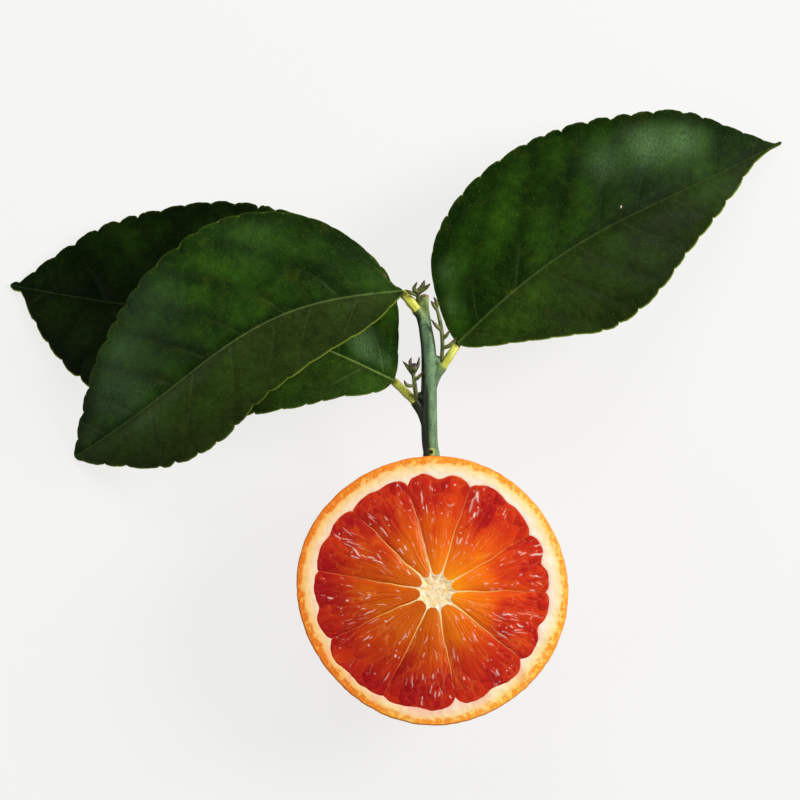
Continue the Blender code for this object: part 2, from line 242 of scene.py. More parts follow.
def linear(code):
    """A colour written as on the web, as linear red, green and blue."""
    parts = [int(code[i : i + 2], 16) / 255 for i in (1, 3, 5)]
    return tuple(p / 12.92 if p <= 0.04045 else ((p + 0.055) / 1.055) ** 2.4 for p in parts)


def settings():
    return bpy.context.scene.blood_orange


# Patterns, on arrays


def step(low, high, value):
    """0 below low, 1 above high, and smooth between them."""
    part = np.clip((value - low) / (high - low), 0.0, 1.0)
    return part * part * (3 - 2 * part)


def clouds(x, y, seed, octaves=3):
    """Smooth noise from 0 to 1, its finest octave 2**(octaves - 1) times finer than the first."""
    total = np.zeros(np.shape(x))
    weights = 0.0
    for octave in range(octaves):
        table = np.random.default_rng(seed + octave).random((64, 64))
        px, py = x * 2**octave, y * 2**octave
        ix, iy = np.floor(px).astype(int), np.floor(py).astype(int)
        sx, sy = step(0, 1, px - ix), step(0, 1, py - iy)
        corner = [[table[(ix + i) % 64, (iy + j) % 64] for j in (0, 1)] for i in (0, 1)]
        low = corner[0][0] * (1 - sx) + corner[1][0] * sx
        high = corner[0][1] * (1 - sx) + corner[1][1] * sx
        total += 0.5**octave * (low * (1 - sy) + high * sy)
        weights += 0.5**octave
    return total / weights


def clouds_over(plan, length, seed, octaves=3):
    """Clouds over points seen from above, the largest this many millimetres long."""
    return clouds(plan[:, 0] / length, plan[:, 1] / length, seed, octaves)


def clouds_around(angle, radius, seed, octaves=3):
    """Clouds along a circle, so that they close on themselves."""
    return clouds(radius * np.cos(angle), radius * np.sin(angle), seed, octaves)


def bell(distance, width, power=2):
    """1 at no distance, and next to nothing from two widths on."""
    return np.exp(-((distance / width) ** power))


def boxy(wave):
    """A wave from -1 to 1 with its round tops made flatter."""
    return np.sign(wave) * np.abs(wave) ** 0.6


def unit(rows):
    """Each row as a direction of length 1."""
    return rows / np.linalg.norm(rows, axis=1)[:, None]


def ray_to(angle):
    """Directions seen from above, one for each angle."""
    return np.stack([np.cos(angle), np.sin(angle)], -1)


def facing(angle, degrees):
    """1 towards this side, -1 on the opposite one."""
    return np.cos(angle - math.radians(degrees))


def cells(x, y, seed, jitter=0.8):
    """Distances to the nearest two points of a jittered grid, and the nearest one's number."""
    draw = np.random.default_rng(seed).random((3, 64, 64))
    ix, iy = np.floor(x).astype(int), np.floor(y).astype(int)
    nearest, second, number = np.full(x.shape, 9.0), np.full(x.shape, 9.0), np.zeros(x.shape)
    for i in (-1, 0, 1):
        for j in (-1, 0, 1):
            a, b = (ix + i) % 64, (iy + j) % 64
            px = ix + i + 0.5 + jitter * (draw[0, a, b] - 0.5)
            py = iy + j + 0.5 + jitter * (draw[1, a, b] - 0.5)
            gap = np.hypot(x - px, y - py)
            closer = gap < nearest
            second = np.where(closer, nearest, np.minimum(second, gap))
            number = np.where(closer, draw[2, a, b], number)
            nearest = np.where(closer, gap, nearest)
    return nearest, second, number


def between(stations, place):
    """The value at each place, 0 to 1, on a smooth curve through evenly spaced stations."""
    stations = np.asarray(stations, float)
    spans = len(stations) - 1
    index = np.clip(np.asarray(place * spans).astype(int), 0, spans - 1)
    part = place * spans - index
    first, last = 2 * stations[0] - stations[1], 2 * stations[-1] - stations[-2]
    padded = np.concatenate([[first], stations, [last]])
    before, start, end, after = (padded[index + i] for i in range(4))
    if stations.ndim == 2:
        part = part[:, None]
    return 0.5 * (
        2 * start
        + (end - before) * part
        + (2 * before - 5 * start + 4 * end - after) * part**2
        + (3 * start - before - 3 * end + after) * part**3
    )


# Meshes


def select_only(obj):
    bpy.ops.object.select_all(action="DESELECT")
    obj.select_set(True)
    bpy.context.view_layer.objects.active = obj


def points_of(obj):
    """The object's points in millimetres, one row each."""
    flat = np.empty(len(obj.data.vertices) * 3)
    obj.data.vertices.foreach_get("co", flat)
    return flat.reshape(-1, 3) / MM


def set_points(obj, points):
    obj.data.vertices.foreach_set("co", (points * MM).ravel())
    obj.data.update()


def sheet(name, columns, rows, place):
    """A grid primitive whose points (u, v), each 0 to 1, stand at place(u, v)."""
    bpy.ops.object.select_all(action="DESELECT")
    bpy.ops.mesh.primitive_grid_add(x_subdivisions=columns, y_subdivisions=rows, size=1.0)
    obj = bpy.context.object
    obj.name = obj.data.name = name
    flat = points_of(obj) * MM + 0.5
    u, v = np.round(flat[:, 0] * columns) / columns, np.round(flat[:, 1] * rows) / rows
    set_points(obj, place(u, v))
    return obj


def paint(obj, name, *fields):
    """Keeps up to four fields, one value a point each, as one colour attribute."""
    colours = np.ones((len(obj.data.vertices), 4), np.float32)
    for channel, field in enumerate(fields):
        colours[:, channel] = field
    layer = obj.data.attributes.new(name, "FLOAT_COLOR", "POINT")
    layer.data.foreach_set("color", colours.ravel())


def lay_map(obj, u, v):
    """Sets the UV map from one pair of values a point."""
    corners = np.empty(len(obj.data.loops), np.int32)
    obj.data.loops.foreach_get("vertex_index", corners)
    pairs = np.stack([u[corners], v[corners]], 1)
    obj.data.uv_layers.active.data.foreach_set("uv", pairs.ravel())


def weld(obj, closed=True):
    """Merges the points that meet at seams and poles; a closed shape's faces turn outwards."""
    select_only(obj)
    bpy.ops.object.mode_set(mode="EDIT")
    bpy.ops.mesh.select_all(action="SELECT")
    bpy.ops.mesh.remove_doubles(threshold=WELD)
    if closed:
        bpy.ops.mesh.normals_make_consistent(inside=False)
    bpy.ops.object.mode_set(mode="OBJECT")


def close_below(obj, depth):
    """Extrudes a sheet's border down and closes the bottom."""
    select_only(obj)
    bpy.ops.object.mode_set(mode="EDIT")
    bpy.ops.mesh.select_mode(type="EDGE")
    bpy.ops.mesh.select_all(action="DESELECT")
    bpy.ops.mesh.select_non_manifold(extend=False, use_wire=False, use_multi_face=False)
    bpy.ops.mesh.extrude_edges_move(TRANSFORM_OT_translate={"value": (0, 0, -depth * MM)})
    bpy.ops.mesh.edge_face_add()
    bpy.ops.mesh.select_mode(type="VERT")
    bpy.ops.object.mode_set(mode="OBJECT")


def apply_modifier(obj, kind, **values):
    select_only(obj)
    bpy.ops.object.modifier_add(type=kind)
    modifier = obj.modifiers[-1]
    for name, value in values.items():
        setattr(modifier, name, value)
    bpy.ops.object.modifier_apply(modifier=modifier.name)


def applied():
    """The new object, with its place and turn moved into its points."""
    bpy.ops.object.transform_apply(location=True, rotation=True, scale=True)
    return bpy.context.object


def join(obj, others):
    select_only(obj)
    for other in others:
        other.select_set(True)
    bpy.ops.object.join()


def fuse(obj, parts, voxel, rounds):
    """Joins the parts to the object as one skin, smoothed this many times."""
    join(obj, parts)
    apply_modifier(obj, "REMESH", mode="VOXEL", voxel_size=voxel * MM, use_smooth_shade=True)
    apply_modifier(obj, "SMOOTH", factor=0.5, iterations=rounds)


def finish_piece(obj, materials, replaced, angle):
    """Smooths a piece, gives it its materials and takes the place of its solid."""
    select_only(obj)
    bpy.ops.object.shade_smooth_by_angle(angle=math.radians(angle))
    obj.data.materials.clear()
    for material in materials:
        obj.data.materials.append(material)
    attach(obj, "root")
    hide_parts(replaced)


def tube(name, centres, radii, sides, rows, flatness=1.0, section=None):
    """A closed round bar on a smooth line through the centres, with domed ends."""

    def place(u, v):
        along = np.clip((v * rows - 2) / (rows - 4), 0.0, 1.0)
        end_shape = np.sqrt(np.clip(np.minimum(v, 1 - v) * rows / 2, 0.0, 1.0))
        centre = between(centres, along)
        after, before = np.minimum(along + 0.01, 1), np.maximum(along - 0.01, 0)
        ahead = unit(between(centres, after) - between(centres, before))
        side = unit(np.cross(ahead, (0.0, 0.0, 1.0)))
        over = np.cross(side, ahead)
        angle = math.tau * u
        radius = between(radii, along) * end_shape
        beyond = np.where(v < 0.5, -1, 1) * (1 - end_shape) * 0.3 * between(radii, along)
        if section:
            radius = radius * section(angle, along)
        ring = np.cos(angle)[:, None] * side + flatness * np.sin(angle)[:, None] * over
        return centre + beyond[:, None] * ahead + radius[:, None] * ring

    obj = sheet(name, sides, rows, place)
    weld(obj)
    return obj


# Materials


def new_material(name, **sockets):
    made = bpy.data.materials.new(name)
    made.use_nodes = True
    shader = made.node_tree.nodes["Principled BSDF"]
    for socket, value in sockets.items():
        shader.inputs[socket.replace("_", " ")].default_value = value
    return made, made.node_tree, shader


def connect(tree, shader, **sockets):
    """Links values to the shader's inputs."""
    for socket, value in sockets.items():
        tree.links.new(value, shader.inputs[socket.replace("_", " ")])


def add_node(tree, kind, inputs=None, **values):
    made = tree.nodes.new(kind)
    for name, value in values.items():
        setattr(made, name, value)
    for socket, value in (inputs or {}).items():
        if isinstance(value, bpy.types.NodeSocket):
            tree.links.new(value, made.inputs[socket])
        else:
            made.inputs[socket].default_value = value
    return made


def ramp(tree, factor, *stops):
    """A colour ramp; each stop is a place and a colour code."""
    made = add_node(tree, "ShaderNodeValToRGB", {0: factor})
    elements = made.color_ramp.elements
    while len(elements) < len(stops):
        elements.new(0.5)
    for element, (place, colour) in zip(elements, stops):
        element.position = place
        element.color = (*linear(colour), 1.0)
    return made.outputs["Color"]


def mix(tree, factor, first, second):
    """Mixes two colours, each a socket, a colour code or red, green and blue."""
    sockets = {0: factor}
    for socket, colour in ((6, first), (7, second)):
        if isinstance(colour, str):
            colour = linear(colour)
        sockets[socket] = (*colour, 1.0) if isinstance(colour, tuple) else colour
    return add_node(tree, "ShaderNodeMix", sockets, data_type="RGBA").outputs[2]


def calc(tree, operation, *values):
    return add_node(tree, "ShaderNodeMath", dict(enumerate(values)), operation=operation).outputs[0]


def times(tree, first, second):
    return calc(tree, "MULTIPLY", first, second)


def scaled(tree, vector, factor):
    sockets = {0: vector, "Scale": factor}
    return add_node(tree, "ShaderNodeVectorMath", sockets, operation="SCALE").outputs[0]


def remap(tree, value, low, high, to_low=0.0, to_high=1.0):
    sockets = {0: value, 1: low, 2: high, 3: to_low, 4: to_high}
    return add_node(tree, "ShaderNodeMapRange", sockets, interpolation_type="SMOOTHSTEP").outputs[0]


def noisy(tree, vector, scale, detail=3.0, rough=0.5):
    sockets = {"Vector": vector, "Scale": scale, "Detail": detail, "Roughness": rough}
    return add_node(tree, "ShaderNodeTexNoise", sockets).outputs["Fac"]


def spots(tree, vector, scale, feature="F1", dimensions="3D"):
    """The distance to the nearest of many scattered points, or to the edge between two."""
    values = {"feature": feature, "voronoi_dimensions": dimensions}
    sockets = {"Vector": vector, "Scale": scale}
    return add_node(tree, "ShaderNodeTexVoronoi", sockets, **values).outputs["Distance"]


def bump(tree, height, depth, strength=1.0, below=None):
    """A bump normal; depth is the height of a full step, in metres."""
    sockets = {"Height": height, "Strength": strength, "Distance": depth}
    made = add_node(tree, "ShaderNodeBump", sockets)
    if below:
        tree.links.new(below, made.inputs["Normal"])
    return made.outputs["Normal"]


def object_place(tree):
    return add_node(tree, "ShaderNodeTexCoord").outputs["Object"]


def field(tree, name):
    """Red, green, blue and alpha of a painted attribute."""
    painted = add_node(tree, "ShaderNodeAttribute", attribute_name=name)
    parts = add_node(tree, "ShaderNodeSeparateColor", {0: painted.outputs["Color"]})
    return (*parts.outputs[:3], painted.outputs["Alpha"])


def stretched(tree, vector, scale):
    return add_node(tree, "ShaderNodeMapping", {"Vector": vector, "Scale": scale}).outputs[0]


def peel_material():
    """Orange peel with its oil glands, and the pith where it is cut."""
    look = settings()
    made, tree, shader = new_material(
        "peel_and_pith", Specular_IOR_Level=0.35, Subsurface_Weight=0.12,
        Subsurface_Radius=(1.0, 0.6, 0.3), Subsurface_Scale=1.2 * MM,
    )
    place = object_place(tree)
    inward, stain, cut, sunny = field(tree, "rind")
    wander = noisy(tree, place, 300.0, 4.0, 0.6)
    wander = times(tree, calc(tree, "SUBTRACT", wander, 0.5), 1.6)
    depth = calc(tree, "ADD", times(tree, inward, 8.0), wander)
    share = calc(tree, "DIVIDE", depth, 4.0)
    # Painted light: a shaded and a lit copy of the cut section's colours, and of its flecks, mixed
    # by the painted lit side.
    shaded_ramp = ramp(
        tree, share, (0.0, "#DE6212"), (0.07, "#E8780E"), (0.16, "#F2A034"), (0.38, "#F8B854"),
        (0.60, "#FACC84"), (0.85, "#FBD9A2"), (1.0, "#FADCBA"),
    )
    light = ramp(
        tree, share, (0.0, "#F28414"), (0.07, "#FBA822"), (0.16, "#FFCC4C"), (0.38, "#FFDA78"),
        (0.60, "#FFE8B0"), (0.85, "#FFEDCC"), (1.0, "#FFEEDA"),
    )
    section = mix(tree, sunny, shaded_ramp, light)
    mottle = noisy(tree, place, 520.0, 5.0, 0.62)
    fleck = mix(tree, sunny, "#F6B060", "#FFD080")
    section = mix(tree, remap(tree, mottle, 0.46, 0.72, 0.0, 0.45), section, fleck)
    section = mix(tree, stain, section, "#F6AE96")
    # Oil glands crowd the outer two millimetres.
    shift = add_node(tree, "ShaderNodeTexNoise", {"Vector": place, "Scale": 900.0}).outputs["Color"]
    shift = {0: place, 1: scaled(tree, shift, 0.6 * MM)}
    warped = add_node(tree, "ShaderNodeVectorMath", shift, operation="ADD").outputs[0]
    limit = calc(tree, "ADD", depth, times(tree, wander, 0.8))
    band = times(tree, remap(tree, inward, 0.02, 0.05), remap(tree, limit, 1.25, 2.0, 1.0, 0.0))
    # Gland colour and size follow the painted lit side too.
    gland_colour = mix(tree, sunny, "#E8760A", "#FA9A14")
    size = remap(tree, sunny, 0.0, 1.0, 0.56, 0.38)
    core = calc(tree, "SUBTRACT", size, 0.12)
    for scale, weight in ((900.0, 0.75), (560.0, 0.95)):
        gland = spots(tree, warped, scale, dimensions="2D")
        filled = times(tree, remap(tree, gland, core, size, weight, 0.0), band)
        section = mix(tree, filled, section, gland_colour)
        # Painted highlight: a pale spot in each gland's middle.
        painted_glint = times(tree, remap(tree, gland, 0.04, 0.14, 0.28, 0.0), band)
        section = mix(tree, painted_glint, section, "#FFE0A0")
    # Outside, the glands show as pits with a darker bottom.
    pit = spots(tree, place, 620.0, feature="SMOOTH_F1")
    hollow = remap(tree, pit, 0.10, 0.52, 1.0, 0.0)
    tint = noisy(tree, place, 45.0, 3.0)
    outside = mix(tree, remap(tree, tint, 0.3, 0.7), tuple(look.peel_colour), "#EE7A12")
    outside = mix(tree, times(tree, hollow, 0.35), outside, "#C9520C")
    colour = mix(tree, cut, outside, section)
    fine = noisy(tree, place, 2600.0, 3.0)
    spongy = bump(tree, mottle, 0.16 * MM, 0.4)
    spongy = bump(tree, fine, 0.05 * MM, 0.4, spongy)
    pitted = bump(tree, hollow, -0.16 * MM, 0.9, bump(tree, fine, 0.03 * MM, 0.4))
    sockets = {0: cut, 4: pitted, 5: spongy}
    normal = add_node(tree, "ShaderNodeMix", sockets, data_type="VECTOR").outputs[1]
    rough = remap(tree, cut, 0.0, 1.0, 0.36, 0.62)
    connect(tree, shader, Base_Color=colour, Normal=normal, Roughness=rough)
    return made


def pith_material():
    """Cream core and membranes, with yellow specks and thin orange cracks."""
    look = settings()
    made, tree, shader = new_material(
        "core_and_membranes", Roughness=0.45, Subsurface_Weight=0.2,
        Subsurface_Radius=(1.0, 0.6, 0.3), Subsurface_Scale=1.0 * MM,
    )
    place = object_place(tree)
    spread, crack, _, _ = field(tree, "pith")
    speck = noisy(tree, place, 900.0, 3.0, 0.6)
    colour = mix(tree, remap(tree, speck, 0.42, 0.64, 0.0, 0.8), tuple(look.pith_colour), "#F2C262")
    colour = mix(tree, crack, colour, "#E59A48")
    outer = ramp(
        tree, spread, (0.02, "#FBDCA4"), (0.22, "#F6B458"), (0.6, "#E87A34"), (1.0, "#CC4626")
    )
    colour = mix(tree, remap(tree, spread, -0.02, 0.04), colour, outer)
    connect(tree, shader, Base_Color=colour, Normal=bump(tree, speck, 0.2 * MM, 0.6))
    return made


def flesh_material():
    """Wet juice sacs: orange by the core, red by the rim, with pale walls between them."""
    look = settings()
    made, tree, shader = new_material(
        "pulp", Roughness=0.2, IOR=1.36, Specular_IOR_Level=0.36, Subsurface_Weight=look.pulp_glow,
        Subsurface_Radius=(1.0, 0.28, 0.12), Subsurface_Scale=1.5 * MM,
    )
    red, wall, pale, light = field(tree, "pulp")
    place = object_place(tree)
    mapped = add_node(tree, "ShaderNodeUVMap").outputs[0]
    fibre = noisy(tree, stretched(tree, mapped, (42.0, 5.0, 1.0)), 9.0, 5.0, 0.6)
    grain = times(tree, calc(tree, "SUBTRACT", fibre, 0.5), 0.22)
    colour = ramp(
        tree, calc(tree, "ADD", red, grain), (0.0, "#FF9808"), (0.2, "#FB7C0C"), (0.4, "#EA5E10"),
        (0.6, "#DC4214"), (0.8, "#C62A17"), (1.0, "#A81419"),
    )
    # Painted shade: the painted light field darkens the pulp away from the pale side.
    colour = scaled(tree, colour, light)
    line = ramp(tree, red, (0.0, "#FFC060"), (0.5, "#F38C40"), (1.0, "#DC5430"))
    hair = remap(tree, fibre, 0.57, 0.74, 0.0, 0.38)
    hair = calc(tree, "MAXIMUM", hair, times(tree, wall, 0.62))
    colour = mix(tree, hair, colour, line)
    # Pale marks: torn sac walls, and painted glints of wet highlights.
    colour = mix(tree, pale, colour, "#FCDDD2")
    fine = noisy(tree, place, 1500.0, 2.0)
    height = calc(tree, "ADD", fibre, times(tree, fine, 0.4))
    connect(tree, shader, Base_Color=colour, Normal=bump(tree, height, 0.08 * MM, 0.5))
    return made


def leaf_material(name, leaf):
    """A waxy upper face with oil dots, a paler midrib and a thin yellow-green edge."""
    look = settings()
    gloss = leaf["gloss"] * look.leaf_gloss
    made, tree, shader = new_material("leaf_top_" + name, IOR=1.42, Specular_IOR_Level=gloss)
    between_veins, vein, edge, damage = field(tree, "blade")
    mapped = add_node(tree, "ShaderNodeUVMap").outputs[0]
    place = object_place(tree)
    patch = noisy(tree, place, 70.0, 4.0, 0.55)
    blotch = noisy(tree, place, 190.0, 3.0, 0.6)
    amount = calc(tree, "ADD", times(tree, patch, 0.9), times(tree, between_veins, 0.14))
    greens = tuple(look.leaf_dark), tuple(look.leaf_light)
    colour = mix(tree, remap(tree, amount, 0.38, 0.85), *greens)
    colour = mix(tree, remap(tree, blotch, 0.5, 0.8, 0.0, 0.35), colour, "#46540E")
    low, painted_sheen, _, _ = field(tree, "side")
    # Painted shade: the lower half tinted dull and dark.
    colour = mix(tree, times(tree, low, leaf["painted_lower_shade"]), colour, "#38461A")
    colour = mix(tree, times(tree, vein, leaf["rib"]), colour, "#66793C")
    dot = spots(tree, mapped, 86.0, dimensions="2D")
    strength = remap(tree, noisy(tree, place, 330.0, 2.0), 0.35, 0.65, 0.06, 0.28)
    dots = times(tree, remap(tree, dot, 0.05, 0.12, 1.0, 0.0), strength)
    colour = mix(tree, dots, colour, "#86A234")
    along = add_node(tree, "ShaderNodeSeparateXYZ", {0: mapped}).outputs[1]
    # Painted light and shade: the leaf painted lighter or darker from its base onwards.
    painted_tone = remap(tree, along, 0.2, 0.5, *leaf["painted_light_tones"])
    mottle = remap(tree, noisy(tree, place, 480.0, 5.0, 0.7), 0.3, 0.7, 0.76, 1.26)
    colour = scaled(tree, colour, times(tree, painted_tone, mottle))
    brushed = noisy(tree, stretched(tree, mapped, (1.0, 6.0, 1.0)), 90.0, 4.0, 0.6)
    painted_sheen = times(tree, painted_sheen, remap(tree, brushed, 0.35, 0.65, 0.2, 1.0))
    # Painted sheen: soft bright patches, streaked along the leaf.
    colour = mix(tree, painted_sheen, colour, "#739A62")
    colour = mix(tree, edge, colour, "#94A63A")
    colour = mix(tree, remap(tree, damage, 0.55, 0.95), colour, "#6E4636")
    colour = mix(tree, remap(tree, damage, 0.45, 0.05), colour, "#F4EDE6")
    pores = noisy(tree, mapped, 260.0, 3.0, 0.6)
    net = spots(tree, mapped, 60.0, feature="DISTANCE_TO_EDGE", dimensions="2D")
    ribs = remap(tree, net, 0.0, 0.16)
    normal = bump(tree, ribs, 0.04 * MM, 0.3)
    normal = bump(tree, pores, 0.06 * MM, 0.5, normal)
    rough = remap(tree, blotch, 0.3, 0.7, 0.38, 0.5)
    connect(tree, shader, Base_Color=colour, Normal=normal, Roughness=rough)
    return made


def leaf_under_material():
    """The paler, duller underside, with its net of veins standing out."""
    made, tree, shader = new_material("leaf_under", Roughness=0.6)
    _, vein, edge, _ = field(tree, "blade")
    mapped = add_node(tree, "ShaderNodeUVMap").outputs[0]
    patch = noisy(tree, object_place(tree), 80.0, 4.0)
    colour = mix(tree, remap(tree, patch, 0.3, 0.7), "#48662C", "#5C7A3A")
    net = spots(tree, mapped, 60.0, feature="DISTANCE_TO_EDGE", dimensions="2D")
    ribs = remap(tree, net, 0.0, 0.14, 1.0, 0.0)
    colour = mix(tree, times(tree, ribs, 0.3), colour, "#7E9A58")
    colour = mix(tree, times(tree, vein, 0.7), colour, "#8FA864")
    colour = mix(tree, edge, colour, "#8E9C3C")
    normal = bump(tree, ribs, 0.08 * MM, 0.5)
    normal = bump(tree, vein, 0.4 * MM, 0.8, normal)
    connect(tree, shader, Base_Color=colour, Normal=normal)
    return made


def bark_material():
    """Smooth green bark with fine dark specks, browner at the cut end."""
    look = settings()
    made, tree, shader = new_material("green_bark", Roughness=0.45, Specular_IOR_Level=0.3)
    place = object_place(tree)
    brown, pale, shade, hole_shade = field(tree, "bark")
    patch = noisy(tree, place, 160.0, 4.0, 0.6)
    colour = mix(tree, remap(tree, patch, 0.3, 0.75), tuple(look.bark_colour), "#567450")
    streak = noisy(tree, stretched(tree, place, (1.0, 0.12, 1.0)), 900.0, 3.0)
    colour = mix(tree, remap(tree, streak, 0.45, 0.75, 0.0, 0.4), colour, "#2C3F24")
    speck = spots(tree, place, 1150.0)
    specks = remap(tree, speck, 0.16, 0.34, 0.7, 0.0)
    colour = mix(tree, specks, colour, "#2A4230")
    colour = mix(tree, pale, colour, "#9AA648")
    colour = mix(tree, shade, colour, "#18220F")
    # Painted shade in the scar's hollow.
    colour = mix(tree, hole_shade, colour, "#14160C")
    wood = mix(tree, remap(tree, streak, 0.4, 0.6), "#33241A", "#7E6A44")
    colour = mix(tree, brown, colour, wood)
    normal = bump(tree, streak, 0.08 * MM, 0.4)
    normal = bump(tree, specks, 0.04 * MM, 0.5, normal)
    connect(tree, shader, Base_Color=colour, Normal=normal)
    return made


def stalk_material():
    """A ribbed yellow-green stalk, browner where it joins."""
    look = settings()
    made, tree, shader = new_material("leaf_stalk", Roughness=0.42)
    place = object_place(tree)
    ends, rib, ring, _ = field(tree, "stalk")
    patch = noisy(tree, place, 300.0, 4.0, 0.6)
    patches = remap(tree, patch, 0.35, 0.75, 0.0, 0.6)
    colour = mix(tree, patches, tuple(look.stalk_colour), "#B0BC44")
    colour = mix(tree, times(tree, rib, 0.25), colour, "#6F8A2A")
    colour = mix(tree, times(tree, ring, 0.35), colour, "#9A9A38")
    speck = spots(tree, place, 800.0)
    colour = mix(tree, remap(tree, speck, 0.10, 0.22, 0.3, 0.0), colour, "#5A6E22")
    colour = mix(tree, times(tree, ends, 0.8), colour, "#6E6A2A")
    connect(tree, shader, Base_Color=colour, Normal=bump(tree, patch, 0.1 * MM, 0.4))
    return made


def shoot_material():
    """Olive bracts with brown tips, and one purple flower bud."""
    look = settings()
    made, tree, shader = new_material("bud_shoot", Roughness=0.55)
    place = object_place(tree)
    tips, bud, _, _ = field(tree, "shoot")
    patch = noisy(tree, place, 700.0, 4.0, 0.6)
    colour = mix(tree, remap(tree, patch, 0.35, 0.7), tuple(look.shoot_colour), "#3E4622")
    colour = mix(tree, tips, colour, "#4A2C1C")
    colour = mix(tree, bud, colour, "#33162C")
    connect(tree, shader, Base_Color=colour, Normal=bump(tree, patch, 0.15 * MM, 0.6))
    return made


# The fruit's own geometry


def outline_radius(angle):
    """The fruit's radius, seen from above, towards each angle."""
    waves = (size * facing(order * angle, phase) for order, size, phase in OUTLINE_WAVES)
    return FRUIT_RADIUS + sum(waves)


def on_spoke(angle, radius):
    """Points at this distance from the fruit's axis, on the core's rays to these angles."""
    ray = ray_to(angle)
    lean = ray @ CORE
    reach = np.sqrt(radius**2 - CORE @ CORE + lean**2) - lean
    return CORE + reach[..., None] * ray


def dark_side(angle):
    """0 on the fruit's pale side, 1 opposite."""
    return 0.5 - 0.5 * facing(angle, PALE_SIDE_DEG)


def segment_span(segment):
    start = MEMBRANE_DEG[segment]
    end = MEMBRANE_DEG[segment + 1] if segment + 1 < SEGMENT_COUNT else MEMBRANE_DEG[0] + 360
    return math.radians(start), math.radians(end)


def flesh_radius(segment, across):
    """How far the flesh reaches: full in a lobe's shoulders, less at its ends and middle."""
    following = (segment + 1) % SEGMENT_COUNT
    notch = NOTCH_MM[segment] * (1 - across) + NOTCH_MM[following] * across
    shoulder = 1 - np.abs(2 * across - 1) ** 5
    dip = LOBE_DIP_MM[segment] * bell(across - 0.5, 0.13)
    start, end = segment_span(segment)
    arc = (start + (end - start) * across) * FLESH_REACH
    ragged = 0.8 * (clouds(arc / 3.6, 0 * arc, 31, 2) - 0.5)
    inside = np.minimum(1, 8 * (0.5 - np.abs(across - 0.5)))
    return notch + (LOBE_MM[segment] - notch) * shoulder - dip + ragged * inside


def flesh_edge(angle):
    """Points of the flesh's outer edge towards these angles."""
    points = np.empty((*np.shape(angle), 2))
    for segment in range(SEGMENT_COUNT):
        start, end = segment_span(segment)
        across = ((angle - start) % math.tau) / (end - start)
        inside = across <= 1
        points[inside] = on_spoke(angle[inside], flesh_radius(segment, across[inside]))
    return points


def membrane_half(index, reach):
    """Half a membrane's width at this distance from the core."""
    thinning = np.exp(-(np.maximum(reach, CORE_RADIUS) - CORE_RADIUS) / 9.0)
    return MEMBRANE_WIDTHS[index] * (0.06 + 0.15 * thinning)


def membrane_stray(index, reach):
    """How far a membrane wanders to its left at this distance from the core."""
    wander = clouds(reach / 6 + 7.3 * index, np.full(np.shape(reach), 0.5), 17, 2) - 0.5
    return 1.1 * wander * np.sin(math.pi * np.clip((reach - 4) / 25, 0, 1))


def core_reach(across):
    """How far the core reaches between two membranes, with a point at each."""
    return CORE_RADIUS + CORE_SPIKE * np.abs(2 * across - 1) ** 4


def segment_plan(segment, across, along):
    """Plan points of a segment, their distance from the core and their angle."""
    start, end = segment_span(segment)
    angle = start + (end - start) * across
    inner = core_reach(across)
    edge = on_spoke(angle, flesh_radius(segment, across)) - CORE
    reach = inner + (np.hypot(edge[:, 0], edge[:, 1]) - inner) * along
    after = (segment + 1) % SEGMENT_COUNT
    aside = (1 - across) * (membrane_stray(segment, reach) + membrane_half(segment, reach))
    aside += across * (membrane_stray(after, reach) - membrane_half(after, reach))
    angle = angle + aside / reach
    plan = CORE + reach[:, None] * ray_to(angle)
    return plan, reach, angle


def torn_walls_and_glints(segment, plan):
    """Torn walls of juice sacs and painted glints of wet highlights: wavy radial strokes in loose
    rows, and dots, fewer the farther a segment lies from the pale side.
    """
    rng = np.random.default_rng(900 + segment)
    start, end = segment_span(segment)
    total = np.zeros(len(plan))
    rows = start + (end - start) * rng.uniform(0.1, 0.9, 5)
    count = round(36 - 12 * dark_side((start + end) / 2))
    for index in range(round(1.6 * count)):
        dot = index >= count
        angle = rng.choice(rows) + rng.normal(0, 0.05)
        reach = FLESH_REACH * rng.uniform(0.1, 0.97) ** 0.55
        turn = angle + rng.normal(0, 0.2)
        middle = CORE + reach * np.array((math.cos(angle), math.sin(angle)))
        ahead = np.array((math.cos(turn), math.sin(turn)))
        length, width = 0.15 + 1.5 * rng.random() ** 2.2, 0.05 + 0.18 * rng.random() ** 2
        if dot:
            length = width = rng.uniform(0.05, 0.12)
        gap = plan - middle
        along = gap @ ahead
        wave = 0.07 * np.sin(along * rng.uniform(1.5, 3.5) + rng.uniform(0, math.tau))
        aside = gap @ np.array((-ahead[1], ahead[0])) + wave
        weight = rng.uniform(0.25, 0.6) if dot else rng.uniform(0.35, 1.0)
        total += weight * np.exp(-((along / length) ** 4) - (aside / width) ** 2)
    return np.clip(total, 0, 1)


